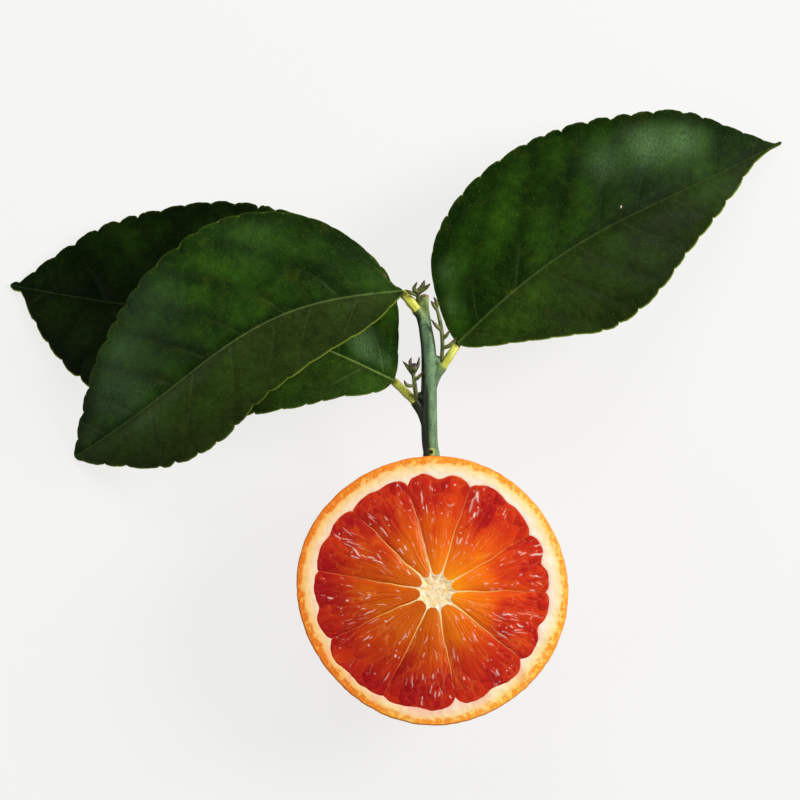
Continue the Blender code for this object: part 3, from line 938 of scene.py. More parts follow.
def make_segment(segment):
    """One segment of pulp: a sheet of juice sacs with walls and a bottom."""
    start, end = segment_span(segment)
    fields = {}

    def place(across, along):
        plan, reach, angle = segment_plan(segment, across, along)
        count = (end - start) * FLESH_REACH / SAC_WIDTH
        wobble = clouds(across * 4 + 9 * segment, along * 5, 41) - 0.5
        bend = clouds_over(plan, 1.3, 45, 2) - 0.5
        x = (across - 0.5) * count + 0.9 * wobble + 0.35 * bend + 13 * segment
        y = 1.5 * along + 1.7 * along**5
        y += 0.9 * (clouds(across * 5, along * 3 + 3 * segment, 43) - 0.5)
        y += 0.3 * (clouds_over(plan, 1.3, 47, 2) - 0.5)
        near, second, number = cells(x, y, 51 + segment)
        border = second - near
        outer = step(0.55, 0.95, along)
        sac = step(0.0, 0.75, border)
        wall = (1 - step(0.02, 0.12 - 0.03 * outer, border)) * (0.3 + 0.25 * outer)
        dark = dark_side(angle)
        wall *= (step(0.3, 0.7, clouds(x * 0.5, y * 1.5, 61)) + 0.15) * (1 - 0.5 * dark * outer)
        thread = 1 - np.abs(2 * clouds(x * 1.5 + 5, y * 0.5, 67 + segment, 2) - 1)
        wall = np.maximum(wall, step(0.94, 0.995, thread) * 0.6 * (1 - 0.4 * outer))
        side = np.abs(2 * across - 1)
        swell = FLESH_BULGE * (1 - side**3) * (1 - along**3) * np.minimum(1, 3 * along)
        # Pale marks: torn sac walls and painted glints.
        pale = torn_walls_and_glints(segment, plan)
        relief = settings().sac_relief / MM * (0.4 + 0.6 * outer)
        relief *= 1 - 0.6 * step(0.93, 1.0, along)
        height = CUT_HEIGHT - 0.02 + swell + relief * (sac - 0.7) + 0.05 * pale
        height += 0.04 * step(0.9, 0.97, along) - 0.05 * step(0.98, 1.0, along) - 0.06 * side**16
        height += 0.2 * (clouds_over(plan, 5, 81) - 0.5) * (1 - along**6)
        pale_red = 1.16 * along * (1 - 0.36 * along)
        dark_red = 0.34 + 0.1 * along + 0.48 * step(0.45, 0.95, along)
        red = pale_red + (dark_red - pale_red) * dark
        red += (0.08 + 0.10 * outer) * (number - 0.5) - 0.12 * step(0.965, 1.0, along) * sac
        red += 0.42 * (clouds_over(plan, 6, 91) - 0.5) * step(0.1, 0.5, along)
        red += 0.07 * step(0.3, 0.55, along) * (1 - step(0.75, 0.95, along))
        deep = clouds(x * 0.8 + 0.8 * bend, 3.2 * along + 1.2 * wobble + 5 * segment, 97)
        red += 0.22 * step(0.5, 0.85, deep) * step(0.3, 0.6, along)
        fields["red"] = np.clip(red, 0, 1)
        # Painted shade: darker away from the pale side, most by the core, and a little at the
        # bottom by the core.
        low = step(0.3, 1.0, facing(angle, 275)) * (1 - step(0.45, 0.7, along))
        fields["light"] = 1 - dark * (0.34 - 0.22 * step(0.6, 1.0, along)) - 0.08 * low
        fields["wall"] = np.clip(wall, 0, 1)
        fields["pale"] = np.clip(pale * 0.95, 0, 1)
        fields["u"] = (across - 0.5) * (end - start) * FLESH_REACH / MAP_SPAN
        fields["v"] = reach / MAP_SPAN
        return np.column_stack([plan, height])

    obj = sheet(f"segment_{segment + 1}", *SEGMENT_GRID, place)
    paint(obj, "pulp", fields["red"], fields["wall"], fields["pale"], fields["light"])
    lay_map(obj, fields["u"], fields["v"])
    close_below(obj, PULP_DEPTH)
    weld(obj)
    return obj


def make_core(columns=240, rows=44):
    """The core between the segments' tips, a closed disc with a spongy, cracked top."""
    fields = {}

    def place(u, v):
        angle = math.tau * u
        reach = np.empty(u.shape)
        for segment in range(SEGMENT_COUNT):
            start, end = segment_span(segment)
            ends = (segment, (segment + 1) % SEGMENT_COUNT)
            sides = [membrane_half(index, CORE_EDGE) / CORE_EDGE for index in ends]
            turn = (angle - start) % math.tau
            across = np.clip((turn - sides[0]) / (end - start - sum(sides)), 0, 1)
            inside = turn <= end - start
            reach[inside] = core_reach(across[inside]) + 0.12
        row = np.round(v * rows)
        share = np.clip(row / (rows - 3), 0, 1)
        plan = CORE + (share * reach)[:, None] * ray_to(angle)
        x, y = plan[:, 0], plan[:, 1]
        near, second, _ = cells(x / 1.9 + 20, y / 1.9 + 20, 5)
        crack = 1 - step(0.02, 0.10, second - near)
        crack *= step(0.35, 0.6, clouds_over(plan, 2, 7))
        height = CUT_HEIGHT - CORE_DEPTH * (1 - step(0.6, 1.0, share)) - 0.04
        flatter = 1 - 0.7 * step(0.6, 1.0, share)
        height += flatter * (0.2 * (clouds_over(plan, 0.8, 9) - 0.5) - 0.1 * crack)
        height = np.where(row >= rows - 2, CUT_HEIGHT - CORE_BASE_DEPTH, height)
        plan[row == rows] = CORE
        fields["crack"] = crack
        return np.column_stack([plan, height])

    obj = sheet("core", columns, rows, place)
    paint(obj, "pith", 0.0, fields["crack"])
    weld(obj)
    return obj


def make_membranes():
    """Thin upright walls between the segments, thick at the core and fine at the rim."""
    walls = []
    for index, degrees in enumerate(MEMBRANE_DEG):
        angle = math.radians(degrees)
        ray = np.array((math.cos(angle), math.sin(angle)))
        left = np.array((-ray[1], ray[0]))
        notch = np.array([NOTCH_MM[index]])
        edge = on_spoke(np.array([angle]), notch)[0] - CORE
        far = math.hypot(*edge) + 0.3
        spread = {}

        def place(u, v):
            reach = MEMBRANE_START + (far - MEMBRANE_START) * v
            half = membrane_half(index, reach) + 0.07
            turn = math.tau * u
            aside = membrane_stray(index, reach) + half * boxy(np.cos(turn))
            end = np.minimum(1, np.minimum(v, 1 - v) * 60)
            top = CUT_HEIGHT - 0.08 + 0.06 * step(MEMBRANE_START, 6.6, reach)
            top -= 0.13 * step(15, 27, reach)
            top += 0.06 * (clouds(reach, 0 * reach + index, 23) - 0.5)
            lift = boxy(np.sin(turn)) * end
            height = top - np.where(lift > 0, 0.18 * (1 - lift), 0.18 - 1.8 * lift)
            spread["far"] = (reach - CORE_RADIUS) / 26
            plan = CORE + reach[:, None] * ray + (aside * end)[:, None] * left
            return np.column_stack([plan, height])

        obj = sheet(f"membrane_{index + 1}", 16, 120, place)
        paint(obj, "pith", np.clip(spread["far"], 0, 1), 0.0)
        weld(obj)
        walls.append(obj)
    join(walls[0], walls[1:])
    walls[0].name = walls[0].data.name = "membranes"
    return walls[0]


def make_peel(columns=720, ring_rows=30, dome_rows=94):
    """The peel and pith as one closed bowl: its floor, the cut ring, the rim and the dome."""
    floor_rows, rim_rows = len(FLOOR_PROFILE), 5
    rows = floor_rows + ring_rows + rim_rows + dome_rows + 1
    fields = {}

    def place(u, v):
        angle = math.tau * u
        row = np.round(v * rows)
        edge = flesh_edge(angle)
        rim = outline_radius(angle) + 0.28 * (clouds_around(angle, 25, 27, 2) - 0.5)
        plan = np.zeros((len(u), 2))
        height = np.zeros(len(u))
        inward = np.zeros(len(u))
        # Floor and inner wall, hidden under the pulp.
        for index, (share, depth) in enumerate(FLOOR_PROFILE):
            here = row == index
            plan[here] = CORE + share * (edge[here] - CORE)
            height[here] = CUT_HEIGHT - depth
        # The cut ring, from the flesh's edge to the rim's rounding.
        ring = (row >= floor_rows) & (row < floor_rows + ring_rows)
        share = (row[ring] - floor_rows) / (ring_rows - 1)
        outer = on_spoke(angle[ring], rim[ring] - RIM_ROUNDING)
        tuck = np.exp(-share / 0.04)
        plan[ring] = edge[ring] + share[:, None] * (outer - edge[ring])
        plan[ring] += 0.3 * tuck[:, None] * unit(-edge[ring])
        sponge = 0.20 * (clouds_over(plan[ring], 1.1, 3) - 0.5)
        sponge += 0.30 * (clouds_over(plan[ring], 4, 4) - 0.5)
        height[ring] = CUT_HEIGHT - 0.12 * tuck + 0.7 * sponge * np.sin(math.pi * share)
        inward[ring] = np.linalg.norm(on_spoke(angle[ring], rim[ring]) - plan[ring], axis=1)
        # The rounded rim.
        first_rim = floor_rows + ring_rows
        turning = (row >= first_rim) & (row < first_rim + rim_rows)
        turn = math.pi / 2 * (row[turning] - first_rim + 1) / (rim_rows + 1)
        plan[turning] = on_spoke(angle[turning], rim[turning] - RIM_ROUNDING * (1 - np.sin(turn)))
        height[turning] = CUT_HEIGHT - RIM_ROUNDING * (1 - np.cos(turn))
        inward[turning] = RIM_ROUNDING * (1 - np.sin(turn))
        # The dome, down to the rest spot.
        first_dome = first_rim + rim_rows
        dome = (row >= first_dome) & (row < rows)
        depth = CUT_HEIGHT / math.sqrt(1 - (REST_RADIUS / FRUIT_RADIUS) ** 2)
        lowest = math.acos(REST_RADIUS / FRUIT_RADIUS)
        part = (row[dome] - first_dome) / (dome_rows - 1)
        fall = RIM_ROUNDING / depth + (lowest - RIM_ROUNDING / depth) * part
        plan[dome] = on_spoke(angle[dome], rim[dome]) * np.cos(fall)[:, None]
        height[dome] = CUT_HEIGHT - depth * np.sin(fall)
        points = np.column_stack([plan, height])
        lump = np.array([noise.noise(Vector(p) / DOME_LUMP_LENGTH) for p in points[dome]])
        outward = unit(points[dome] - (0, 0, CUT_HEIGHT))
        lift = DOME_UNEVENNESS * lump * np.sin(math.pi * part)
        arc = angle[dome] * FRUIT_RADIUS * np.maximum(np.cos(fall), 0.3)
        near, _, _ = cells(arc / 1.5, part * 46 / 1.5, 13)
        pits = settings().pit_depth / MM * (1 - step(0.05, 0.42, near))
        lift -= pits * step(0, 0.03, part) * step(1, 0.96, part)
        points[dome] += lift[:, None] * outward
        points[row == rows] = 0.0
        points[:, 2] = np.maximum(points[:, 2], 0.0)
        # The coloured layer is thicker in three places.
        swells = (size * step(low, 1, facing(angle, side)) for size, low, side in THICK_PEEL)
        thicker = sum(swells)
        fields["inward"] = np.clip(inward * (1 - thicker) / 8, 0, 1)
        cut = np.where(ring, 1.0, 0.0)
        cut[turning] = 1 - step(0.0, 0.8, 1 - inward[turning] / RIM_ROUNDING)
        cut[row < floor_rows] = 1.0
        fields["inward"][row < floor_rows] = 1.0
        fields["cut"] = cut
        # Painted light: the cut ring is painted lit towards the right and along the bottom, shaded
        # on the opposite side, and a little uneven.
        uneven = 0.5 * (clouds_around(angle, 6, 29, 2) - 0.5)
        towards = facing(angle, PAINTED_LIGHT_SIDE_DEG)
        below = step(0.6, 1, facing(angle, 268))
        fields["sunny"] = np.clip(0.4 + 0.6 * towards + 0.45 * below + uneven, 0, 1)
        gap = np.linalg.norm(plan - edge, axis=1)
        low = 0.5 + 0.5 * facing(angle, 262)
        patchy = step(0.42, 0.62, clouds_around(angle, 7, 19))
        stain = np.exp(-gap / (0.6 + 1.6 * low)) * (0.15 + 0.7 * low * patchy)
        fields["stain"] = np.where(ring, np.clip(stain, 0, 1), 0)
        return points

    obj = sheet("peel", columns, rows, place)
    paint(obj, "rind", fields["inward"], fields["stain"], fields["cut"], fields["sunny"])
    weld(obj)
    return obj


# The twig's geometry


def midrib(leaf, place):
    """A leaf's midrib from above: points and unit vectors to its left."""
    base, tip = np.array(leaf["base"]), np.array(leaf["tip"])
    way = tip - base
    left = np.array((-way[1], way[0])) / np.linalg.norm(way)
    bow, second = leaf["bow"]
    aside = bow * np.sin(math.pi * place) + second * np.sin(2 * math.pi * place)
    slope = math.pi * (bow * np.cos(math.pi * place) + 2 * second * np.cos(2 * math.pi * place))
    ahead = unit(way + slope[:, None] * left)
    points = base + place[:, None] * way + aside[:, None] * left
    return points, np.stack([-ahead[:, 1], ahead[:, 0]], 1)


def half_width(leaf, side, along):
    """How wide a leaf is on one side, without its teeth."""
    return np.maximum(0, between((0.0, *leaf[side], 0.0), along))


def teeth(leaf, side, along, seed):
    """How far the toothed margin stands in from the smooth one: arcs that meet in notches."""
    samples = np.linspace(0, 1, 1200)
    place = (1 - np.cos(math.pi * samples)) / 2
    middle, left = midrib(leaf, place)
    width = half_width(leaf, side, samples)
    margin = middle + (1 if side == "left" else -1) * width[:, None] * left
    arc = np.concatenate([[0], np.cumsum(np.linalg.norm(np.diff(margin, axis=0), axis=1))])
    look = settings()
    phase = arc / (look.tooth_spacing / MM) + 0.8 * (clouds(arc / 9, 0 * arc, seed) - 0.5)
    depth = leaf["teeth"] * look.tooth_depth / MM * (0.5 + clouds(arc / 11, 0 * arc, seed + 5, 2))
    depth = depth * np.clip(width / 5, 0, 1) * (0.35 + 0.65 * step(0.2, 0.6, samples))
    part, finer = phase % 1, (2.6 * phase + 0.3) % 1
    large = 1 - np.abs(np.sin(math.pi * part)) ** 0.5
    small = 1 - np.abs(np.sin(math.pi * finer)) ** 0.5
    inset = depth * (0.8 * large + 0.35 * (1 - part) + 0.14 * small - 0.35)
    notch = np.clip(depth * 1.5, 0, 1) * (step(0.5, 0.9, large) + 0.4 * step(0.6, 0.9, small))
    return np.interp(along, samples, inset), np.interp(along, samples, np.clip(notch, 0, 1))


def make_leaf(name, leaf, seed):
    """A leaf blade: toothed margin, grooved midrib, and a surface that swells between veins."""
    fields = {}

    def place_points(u, v):
        across = 2 * u - 1
        side = np.sign(across)
        spread = (1 - np.cos(math.pi * across)) / 2 * side
        place = (1 - np.cos(math.pi * v)) / 2
        middle, left = midrib(leaf, place)
        sides = []
        for key, draw in (("left", seed), ("right", seed + 50)):
            half = half_width(leaf, key, v)
            sides.append((half, half / max(leaf[key]), *teeth(leaf, key, v, draw)))
        width, share, inset, notch = (np.where(across > 0, *pair) for pair in zip(*sides))
        length = np.linalg.norm(np.subtract(leaf["tip"], leaf["base"]))
        ends = (((1 - place) * length, leaf["tip_width"]), (place * length, LEAF_BASE_HALF))
        for gap, least in ends:
            width = np.maximum(width, least * np.sqrt(np.clip(gap / least, 0, 1)) * (gap < 4))
        damage = np.full(len(u), 0.5)
        plan = middle + (width * spread)[:, None] * left
        if name == "right":
            gap = np.hypot(*(plan - PALE_FLECK).T)
            damage = 0.5 - 0.5 * bell(gap, 0.34, 4) + 0.25 * bell(gap - 0.5, 0.2)
        aside = width * np.abs(spread)
        plan = middle + (side * (aside - inset * np.abs(spread) ** 7))[:, None] * left
        if name == "front_left":
            # A small bite at the upper edge, brown on one side.
            ragged = clouds(plan[:, 0] * 1.5, plan[:, 1] * 1.5, 77)
            away = plan - BITE
            gap = np.maximum(np.linalg.norm(away, axis=1), 0.01)
            wide = (gap**4 + (1.1 + 0.7 * ragged) ** 4) ** 0.25
            plan = BITE + away * (wide / gap)[:, None]
            gap = np.linalg.norm(plan - TORN_EDGE, axis=1)
            damage = 0.5 + 0.5 * bell(gap, 0.9, 4) * step(0.1, 0.4, ragged)
        swing, count, phase = leaf["waves"]
        wave = swing * spread**2 * share * np.sin(math.tau * count * place + phase + spread)
        height = between(leaf["heights"], place) - leaf["droop"] * (spread * share) ** 2 + wave
        height += GROOVE_DEPTH * share * (1 - bell(aside, GROOVE_WIDTH))
        run = place * length
        lean = 0.62 * aside + 0.010 * aside**2
        jitter = 0.7 * (clouds(run / 18 + 3 * side, side + 2.0 + 0 * u, seed + 9, 2) - 0.5)
        turn = (run - lean) / VEIN_SPACING + jitter + 0.28 * side
        off_vein = np.abs(turn - np.round(turn))
        inside = width - aside
        strength = step(0.0, 3.0, aside) * step(0.0, 6.0, inside)
        bulge = np.sin(math.pi * off_vein) ** 0.9
        fine = np.abs(2 * turn - np.round(2 * turn))
        look = settings()
        height += look.leaf_quilting / MM * strength * (bulge - 0.5)
        height += 0.3 * look.leaf_quilting / MM * strength * (np.sin(math.pi * fine) - 0.5)
        height += 0.22 * (clouds_over(plan, 6, seed + 21) - 0.5) * step(0, 5, aside)
        ripple = 0.25 * np.abs(spread) ** 6 * np.minimum(1, width / 8)
        height += ripple * 2 * (clouds(run / 5 + 11 * side, 0 * u, seed + 33) - 0.5)
        # A fine cord lies in the midrib's groove.
        cord = bell(aside, 0.11 + 0.13 * (1 - place))
        height += 0.16 * cord * (1 - 0.6 * place)
        side_vein = bell(off_vein * VEIN_SPACING, 0.26) * step(0.3, 1.5, aside)
        side_vein *= 1 - step(3, 13, aside)
        fields["vein"] = np.clip(cord * (1.0 - 0.45 * place) + 0.3 * side_vein, 0, 1)
        rim = bell(np.maximum(inside - 0.05, 0), 0.26) * np.minimum(1, width / 1.5)
        lower = np.clip(-side * left[:, 1], 0, 1)
        fields["edge"] = np.clip(rim * (0.07 + 0.6 * lower + 0.55 * notch), 0, 1)
        fields["bulge"] = bulge * strength
        fields["damage"] = damage
        fields["u"], fields["v"] = side * aside / MAP_SPAN + 0.5, run / MAP_SPAN
        # Painted shade on the lower half of the blade.
        fields["low"] = np.where(side * left[:, 1] < 0, 1, 0) * step(0, 0.6, aside)
        # Painted sheen: soft bright patches around the listed spots.
        patches = (
            power * bell(np.hypot(*(plan - spot).T), size) for spot, size, power in leaf["painted_sheen"]
        )
        fields["painted_sheen"] = sum(patches) * strength
        return np.column_stack([plan, np.maximum(height, 0.3)])

    obj = sheet("leaf_blade_" + name, LEAF_COLUMNS, LEAF_ROWS, place_points)
    paint(obj, "blade", fields["bulge"], fields["vein"], fields["edge"], fields["damage"])
    paint(obj, "side", fields["low"], fields["painted_sheen"])
    lay_map(obj, fields["u"], fields["v"])
    weld(obj, closed=False)
    if sum(polygon.normal.z for polygon in obj.data.polygons) < 0:
        obj.data.flip_normals()
    for material in (bpy.data.materials["leaf_top_" + name], bpy.data.materials["leaf_under"]):
        obj.data.materials.append(material)
    values = {"offset": 0.0, "material_offset": 1, "material_offset_rim": 0}
    apply_modifier(obj, "SOLIDIFY", thickness=settings().leaf_thickness, **values)
    return obj


def nearest_gap(points, targets):
    """Each point's distance to the nearest of the targets."""
    gaps = np.linalg.norm(points[:, None, :] - np.asarray(targets)[None, :, :], axis=2)
    return gaps.min(axis=1)


def make_stem():
    """The twig with its leaf cushions, scar and calyx, fused and smoothed as one skin."""
    centres = [centre for centre, _ in TWIG_MM]
    radii = [radius for _, radius in TWIG_MM]

    def section(angle, along):
        lobes = 0.12 * np.clip(1 - along * 4.5, 0, 1) * np.cos(5 * angle)
        swells = 0.03 * np.cos(3 * angle + 5 * along)
        return 1 + lobes + swells + 0.02 * np.cos(7 * angle - 9 * along)

    stem = tube("stem", centres, radii, 40, 160, section=section)
    parts = []
    for name, (inside, mouth, _, radius) in STALKS_MM.items():
        inside, mouth = np.array(inside), np.array(mouth)
        line = [inside - (0, 3.0, 0.2), 0.6 * inside + 0.4 * mouth - (0, 0.3, 0), mouth]
        sizes = [0.8 * CUSHION_RADIUS, 0.88 * CUSHION_RADIUS, radius + 0.24]
        parts.append(tube("cushion_" + name, line, sizes, 24, 24))
    for axil in AXILS_MM:
        bpy.ops.mesh.primitive_uv_sphere_add(radius=AXIL_RADIUS * MM, location=Vector(axil) * MM)
        parts.append(applied())
    place = np.array(SCAR_MM) * MM
    bpy.ops.mesh.primitive_torus_add(
        major_radius=0.62 * MM, minor_radius=0.34 * MM, location=place, rotation=(0.25, 0, 0)
    )
    parts.append(applied())
    fuse(stem, parts, TWIG_VOXEL, 6)
    points = points_of(stem)
    ragged = 0.8 * (clouds(points[:, 0] * 2, points[:, 2] * 2, 15) - 0.5)
    tip = step(CUT_END, CUT_END + 0.5, points[:, 1] + ragged)
    scar_gap = np.linalg.norm(points - SCAR_MM, axis=1)
    # Painted shade: the scar's hollow painted near-black.
    hole_shade = 1 - step(0.35, 0.7, np.hypot(*(points[:, :2] - SCAR_MM[:2]).T))
    scar = 1 - step(1.0, 1.4, scar_gap)
    mouths = [mouth for _, mouth, _, _ in STALKS_MM.values()]
    pale = 1 - step(0.6, 2.4, nearest_gap(points, mouths))
    pale = np.maximum(0.6 * pale, 0.55 * step(69.0, 74.0, points[:, 1]))
    pale = np.maximum(pale, 0.75 * scar)
    across, ahead, _ = np.transpose(centres)
    axis = np.interp(points[:, 1], ahead, across)
    lit_from = axis - 0.1 - 0.9 * step(50, 57, points[:, 1])
    shade = 0.96 * (1 - step(-0.5, 0.3, points[:, 0] - lit_from))
    shade *= 1 - 0.7 * step(70, 74, points[:, 1])
    paint(stem, "bark", tip, pale, shade, hole_shade)
    return stem


def make_stalk(name):
    """A leaf stalk, grooved above and ribbed, its ends sunk in the twig and under the leaf."""
    _, mouth, end, radius = STALKS_MM[name]
    mouth, end = np.array(mouth), np.array(end)
    way = (end - mouth) / np.linalg.norm(end - mouth)
    middle = (mouth + end) / 2 + (0, 0, 0.35)
    centres = [mouth - 0.6 * way, middle, end + 0.3 * way - (0, 0, 0.35 + radius)]

    def section(angle, along):
        groove = 0.10 * bell(angle - math.pi / 2, 0.35)
        ribs = 0.012 * np.cos(math.tau * along * 16)
        swells = 0.05 * np.cos(math.tau * along * 2.3)
        return 1.06 - groove + 0.02 * np.cos(9 * angle) + swells + ribs

    radii = [radius, 0.95 * radius, 0.9 * radius]
    obj = tube("stalk_" + name, centres, radii, 54, 130, 0.9, section)
    points = points_of(obj)
    ends = 1 - step(0.3, 1.3, nearest_gap(points, [mouth, end]))
    place = (points - mouth) @ way
    aside = (points - mouth) @ np.array((-way[1], way[0], 0.0))
    angle = np.arctan2(points[:, 2] - middle[2], aside)
    rib = 0.5 + 0.5 * np.cos(9 * angle + 0.3 * place)
    ring = 0.5 + 0.5 * np.cos(math.tau * (place / 0.42 + clouds(angle, place, 37, 2)))
    paint(obj, "stalk", ends, rib, ring)
    return obj


def make_shoot(name):
    """A bud shoot: a stem with pointed bracts, fused and smoothed as one skin."""
    shoot = SHOOTS[name]
    stem = [np.array(point) for point in shoot["stem"]]
    thick = shoot["radius"]
    obj = tube("shoot_" + name, stem, [thick] * (len(stem) - 1) + [0.7 * thick], 16, 40)
    parts, points = [], []
    for *line, radius in shoot["bracts"]:
        sizes = [0.85 * radius, 1.12 * radius, 0.3 * radius]
        parts.append(tube("bract", [np.array(point) for point in line], sizes, 14, 26))
        points.append(line[-1])
    fuse(obj, parts, SHOOT_VOXEL, 2)
    skin = points_of(obj)
    tips = 1 - step(0.5, 1.6, nearest_gap(skin, points))
    bud = np.zeros(len(skin))
    for *line, radius in shoot["bracts"]:
        if radius > 0.9:
            bud = 1 - step(0.8, 1.15, nearest_gap(skin, np.array(line[1:])))
    paint(obj, "shoot", tips, bud)
    return obj


# The add-on


class BloodOrangeSettings(bpy.types.PropertyGroup):
    """Sizes and colours that a user would change."""

    peel_colour: bpy.props.FloatVectorProperty(
        name="Peel", description="Outside of the peel", subtype="COLOR", default=linear("#F08C1E")
    )
    pith_colour: bpy.props.FloatVectorProperty(
        name="Pith", description="Core and pith", subtype="COLOR", default=linear("#FCEBD0")
    )
    pulp_glow: bpy.props.FloatProperty(
        name="Pulp glow", description="Share of light that passes through the pulp", default=0.15
    )
    sac_relief: bpy.props.FloatProperty(
        name="Sac relief", description="Height of a juice sac", unit="LENGTH", default=0.15 * MM
    )
    pit_depth: bpy.props.FloatProperty(
        name="Peel pits", description="Depth of pits in the peel", unit="LENGTH", default=0.10 * MM
    )
    leaf_dark: bpy.props.FloatVectorProperty(
        name="Leaf, dark", description="Darker green", subtype="COLOR", default=linear("#152B08")
    )
    leaf_light: bpy.props.FloatVectorProperty(
        name="Leaf, light", description="Lighter green", subtype="COLOR", default=linear("#2F5410")
    )
    leaf_gloss: bpy.props.FloatProperty(
        name="Leaf gloss", description="Strength of the leaves' shine", default=0.2
    )
    leaf_thickness: bpy.props.FloatProperty(
        name="Leaf thickness", description="Thickness of a blade", unit="LENGTH", default=0.36 * MM
    )
    leaf_quilting: bpy.props.FloatProperty(
        name="Leaf quilting", description="Swelling between veins", unit="LENGTH", default=0.17 * MM
    )
    tooth_spacing: bpy.props.FloatProperty(
        name="Tooth spacing", description="Length of a tooth", unit="LENGTH", default=6.3 * MM
    )
    tooth_depth: bpy.props.FloatProperty(
        name="Tooth depth", description="Depth of the notches", unit="LENGTH", default=1.0 * MM
    )
    bark_colour: bpy.props.FloatVectorProperty(
        name="Bark", description="Green bark", subtype="COLOR", default=linear("#74946A")
    )
    stalk_colour: bpy.props.FloatVectorProperty(
        name="Stalk", description="Leaf stalks", subtype="COLOR", default=linear("#E2E05A")
    )
    shoot_colour: bpy.props.FloatVectorProperty(
        name="Shoots", description="Bud shoots", subtype="COLOR", default=linear("#6C7236")
    )
    key_power: bpy.props.FloatProperty(
        name="Key light", description="Power of the main soft light", unit="POWER", default=15.0
    )
    floor_glow: bpy.props.FloatProperty(
        name="Floor glow", description="Light that the floor gives by itself", default=0.80
    )


class OrangeHalfPeel(bpy.types.Operator):
    """Makes the peel and the pith"""

    bl_idname = "blood_orange.add_peel"
    bl_label = "Peel and pith"

    def execute(self, context):
        finish_piece(make_peel(), [peel_material()], "orange_half", 60)
        return {"FINISHED"}


class OrangeHalfCore(bpy.types.Operator):
    """Makes the core and the membranes"""

    bl_idname = "blood_orange.add_core"
    bl_label = "Core and membranes"

    def execute(self, context):
        material = pith_material()
        finish_piece(make_core(), [material], "orange_half", 60)
        finish_piece(make_membranes(), [material], "orange_half", 60)
        return {"FINISHED"}


class OrangeHalfPulp(bpy.types.Operator):
    """Makes the ten segments of pulp"""

    bl_idname = "blood_orange.add_pulp"
    bl_label = "Pulp"

    def execute(self, context):
        material = flesh_material()
        for segment in range(SEGMENT_COUNT):
            finish_piece(make_segment(segment), [material], "orange_half", 70)
        return {"FINISHED"}


class OrangeHalfLeaves(bpy.types.Operator):
    """Makes the three leaf blades"""

    bl_idname = "blood_orange.add_leaves"
    bl_label = "Leaves"

    def execute(self, context):
        under = leaf_under_material()
        for number, (name, leaf) in enumerate(LEAVES.items()):
            materials = [leaf_material(name, leaf), under]
            blade = make_leaf(name, leaf, 200 + 100 * number)
            finish_piece(blade, materials, "leaf_" + name, 50)
        return {"FINISHED"}


class OrangeHalfTwig(bpy.types.Operator):
    """Makes the twig, the leaf stalks and the bud shoots"""

    bl_idname = "blood_orange.add_twig"
    bl_label = "Twig, stalks and shoots"

    def execute(self, context):
        finish_piece(make_stem(), [bark_material()], "twig", 80)
        material = stalk_material()
        for name in STALKS_MM:
            finish_piece(make_stalk(name), [material], "petiole_" + name, 80)
        material = shoot_material()
        for name in SHOOTS:
            finish_piece(make_shoot(name), [material], "bud_shoot_" + name, 80)
        return {"FINISHED"}


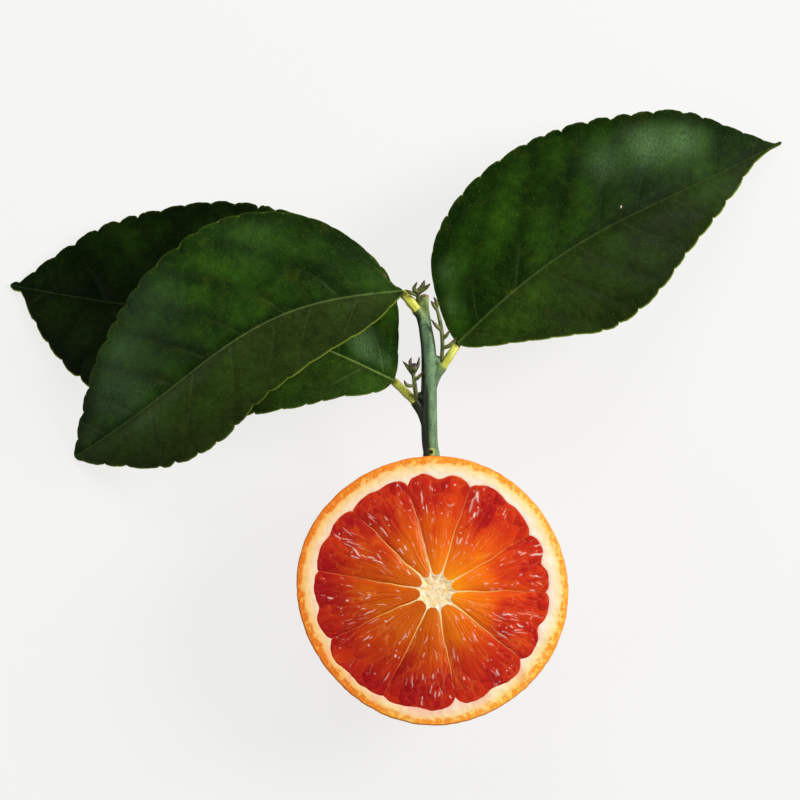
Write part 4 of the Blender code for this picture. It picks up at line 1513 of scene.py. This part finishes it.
class OrangeHalfStage(bpy.types.Operator):
    """Makes the floor, the lights and the camera"""

    bl_idname = "blood_orange.add_stage"
    bl_label = "Stage"

    def execute(self, context):
        look = settings()
        bpy.ops.object.select_all(action="DESELECT")
        bpy.ops.mesh.primitive_plane_add(size=12.0)
        floor = context.object
        floor.name = floor.data.name = "floor"
        made, tree, shader = new_material("pale_floor", Roughness=0.9, Specular_IOR_Level=0.0)
        shader.inputs["Base Color"].default_value = (0.11, 0.11, 0.11, 1.0)
        shader.inputs["Emission Color"].default_value = (1.0, 0.995, 0.975, 1.0)
        glow = add_node(tree, "ShaderNodeLightPath").outputs["Is Camera Ray"]
        glow = remap(tree, glow, 0.0, 1.0, 0.3 * look.floor_glow, look.floor_glow)
        connect(tree, shader, Emission_Strength=glow)
        floor.data.materials.append(made)
        middle = Vector((-0.005, 0.045, 0.02))
        lamps = (
            ("key", (0.86, 0.36, 0.62), (0.5, 0.5), 1.0, (1.0, 0.985, 0.96)),
            ("fill_above", (0.0, 0.88, 0.62), (0.7, 0.35), 0.34, (0.98, 1.0, 0.99)),
            ("fill_left", (-0.92, -0.10, 0.52), (0.45, 0.45), 0.13, (0.96, 1.0, 0.99)),
        )
        for name, place, size, share, colour in lamps:
            bpy.ops.object.light_add(type="AREA", location=place)
            lamp = context.object
            lamp.name = name
            lamp.data.shape = "RECTANGLE"
            lamp.data.size, lamp.data.size_y = size
            lamp.data.energy = share * look.key_power
            lamp.data.color = colour
            lamp.visible_glossy = name != "fill_above"
            lamp.rotation_euler = (middle - Vector(place)).to_track_quat("-Z", "Y").to_euler()
        world = bpy.data.worlds.new("soft_room")
        context.scene.world = world
        world.use_nodes = True
        room = world.node_tree
        background = room.nodes["Background"]
        background.inputs["Strength"].default_value = 1.0
        to_camera = add_node(room, "ShaderNodeLightPath").outputs["Is Camera Ray"]
        colour = mix(room, to_camera, (0.10, 0.10, 0.10), (0.92, 0.915, 0.90))
        connect(room, background, Color=colour)
        bpy.ops.object.camera_add(location=CAMERA_PLACE)
        camera = context.object
        camera.name = "camera_above"
        camera.data.lens = CAMERA_LENS
        camera.data.sensor_width = CAMERA_SENSOR
        camera.data.clip_start = 0.01
        camera.data.clip_end = 30.0
        context.scene.camera = camera
        context.scene.view_settings.view_transform = "Standard"
        return {"FINISHED"}


class OrangeHalfPanel(bpy.types.Panel):
    """Lists the pieces of the blood orange half"""

    bl_idname = "VIEW3D_PT_blood_orange"
    bl_label = "Blood orange half"
    bl_space_type = "VIEW_3D"
    bl_region_type = "UI"
    bl_category = "Blood orange"

    def draw(self, context):
        for operator in OPERATORS:
            self.layout.operator(operator.bl_idname)
        for name in BloodOrangeSettings.__annotations__:
            self.layout.prop(context.scene.blood_orange, name)


OPERATORS = (
    OrangeHalfStage,
    OrangeHalfPeel,
    OrangeHalfCore,
    OrangeHalfPulp,
    OrangeHalfLeaves,
    OrangeHalfTwig,
)


def register():
    for item in (BloodOrangeSettings, *OPERATORS, OrangeHalfPanel):
        bpy.utils.register_class(item)
    bpy.types.Scene.blood_orange = bpy.props.PointerProperty(type=BloodOrangeSettings)


def unregister():
    del bpy.types.Scene.blood_orange
    for item in (OrangeHalfPanel, *reversed(OPERATORS), BloodOrangeSettings):
        bpy.utils.unregister_class(item)


def main():
    register()
    bpy.ops.blood_orange.add_stage()
    bpy.ops.blood_orange.add_peel()
    bpy.ops.blood_orange.add_core()
    bpy.ops.blood_orange.add_pulp()
    bpy.ops.blood_orange.add_leaves()
    bpy.ops.blood_orange.add_twig()


if __name__ == "__main__":
    main()
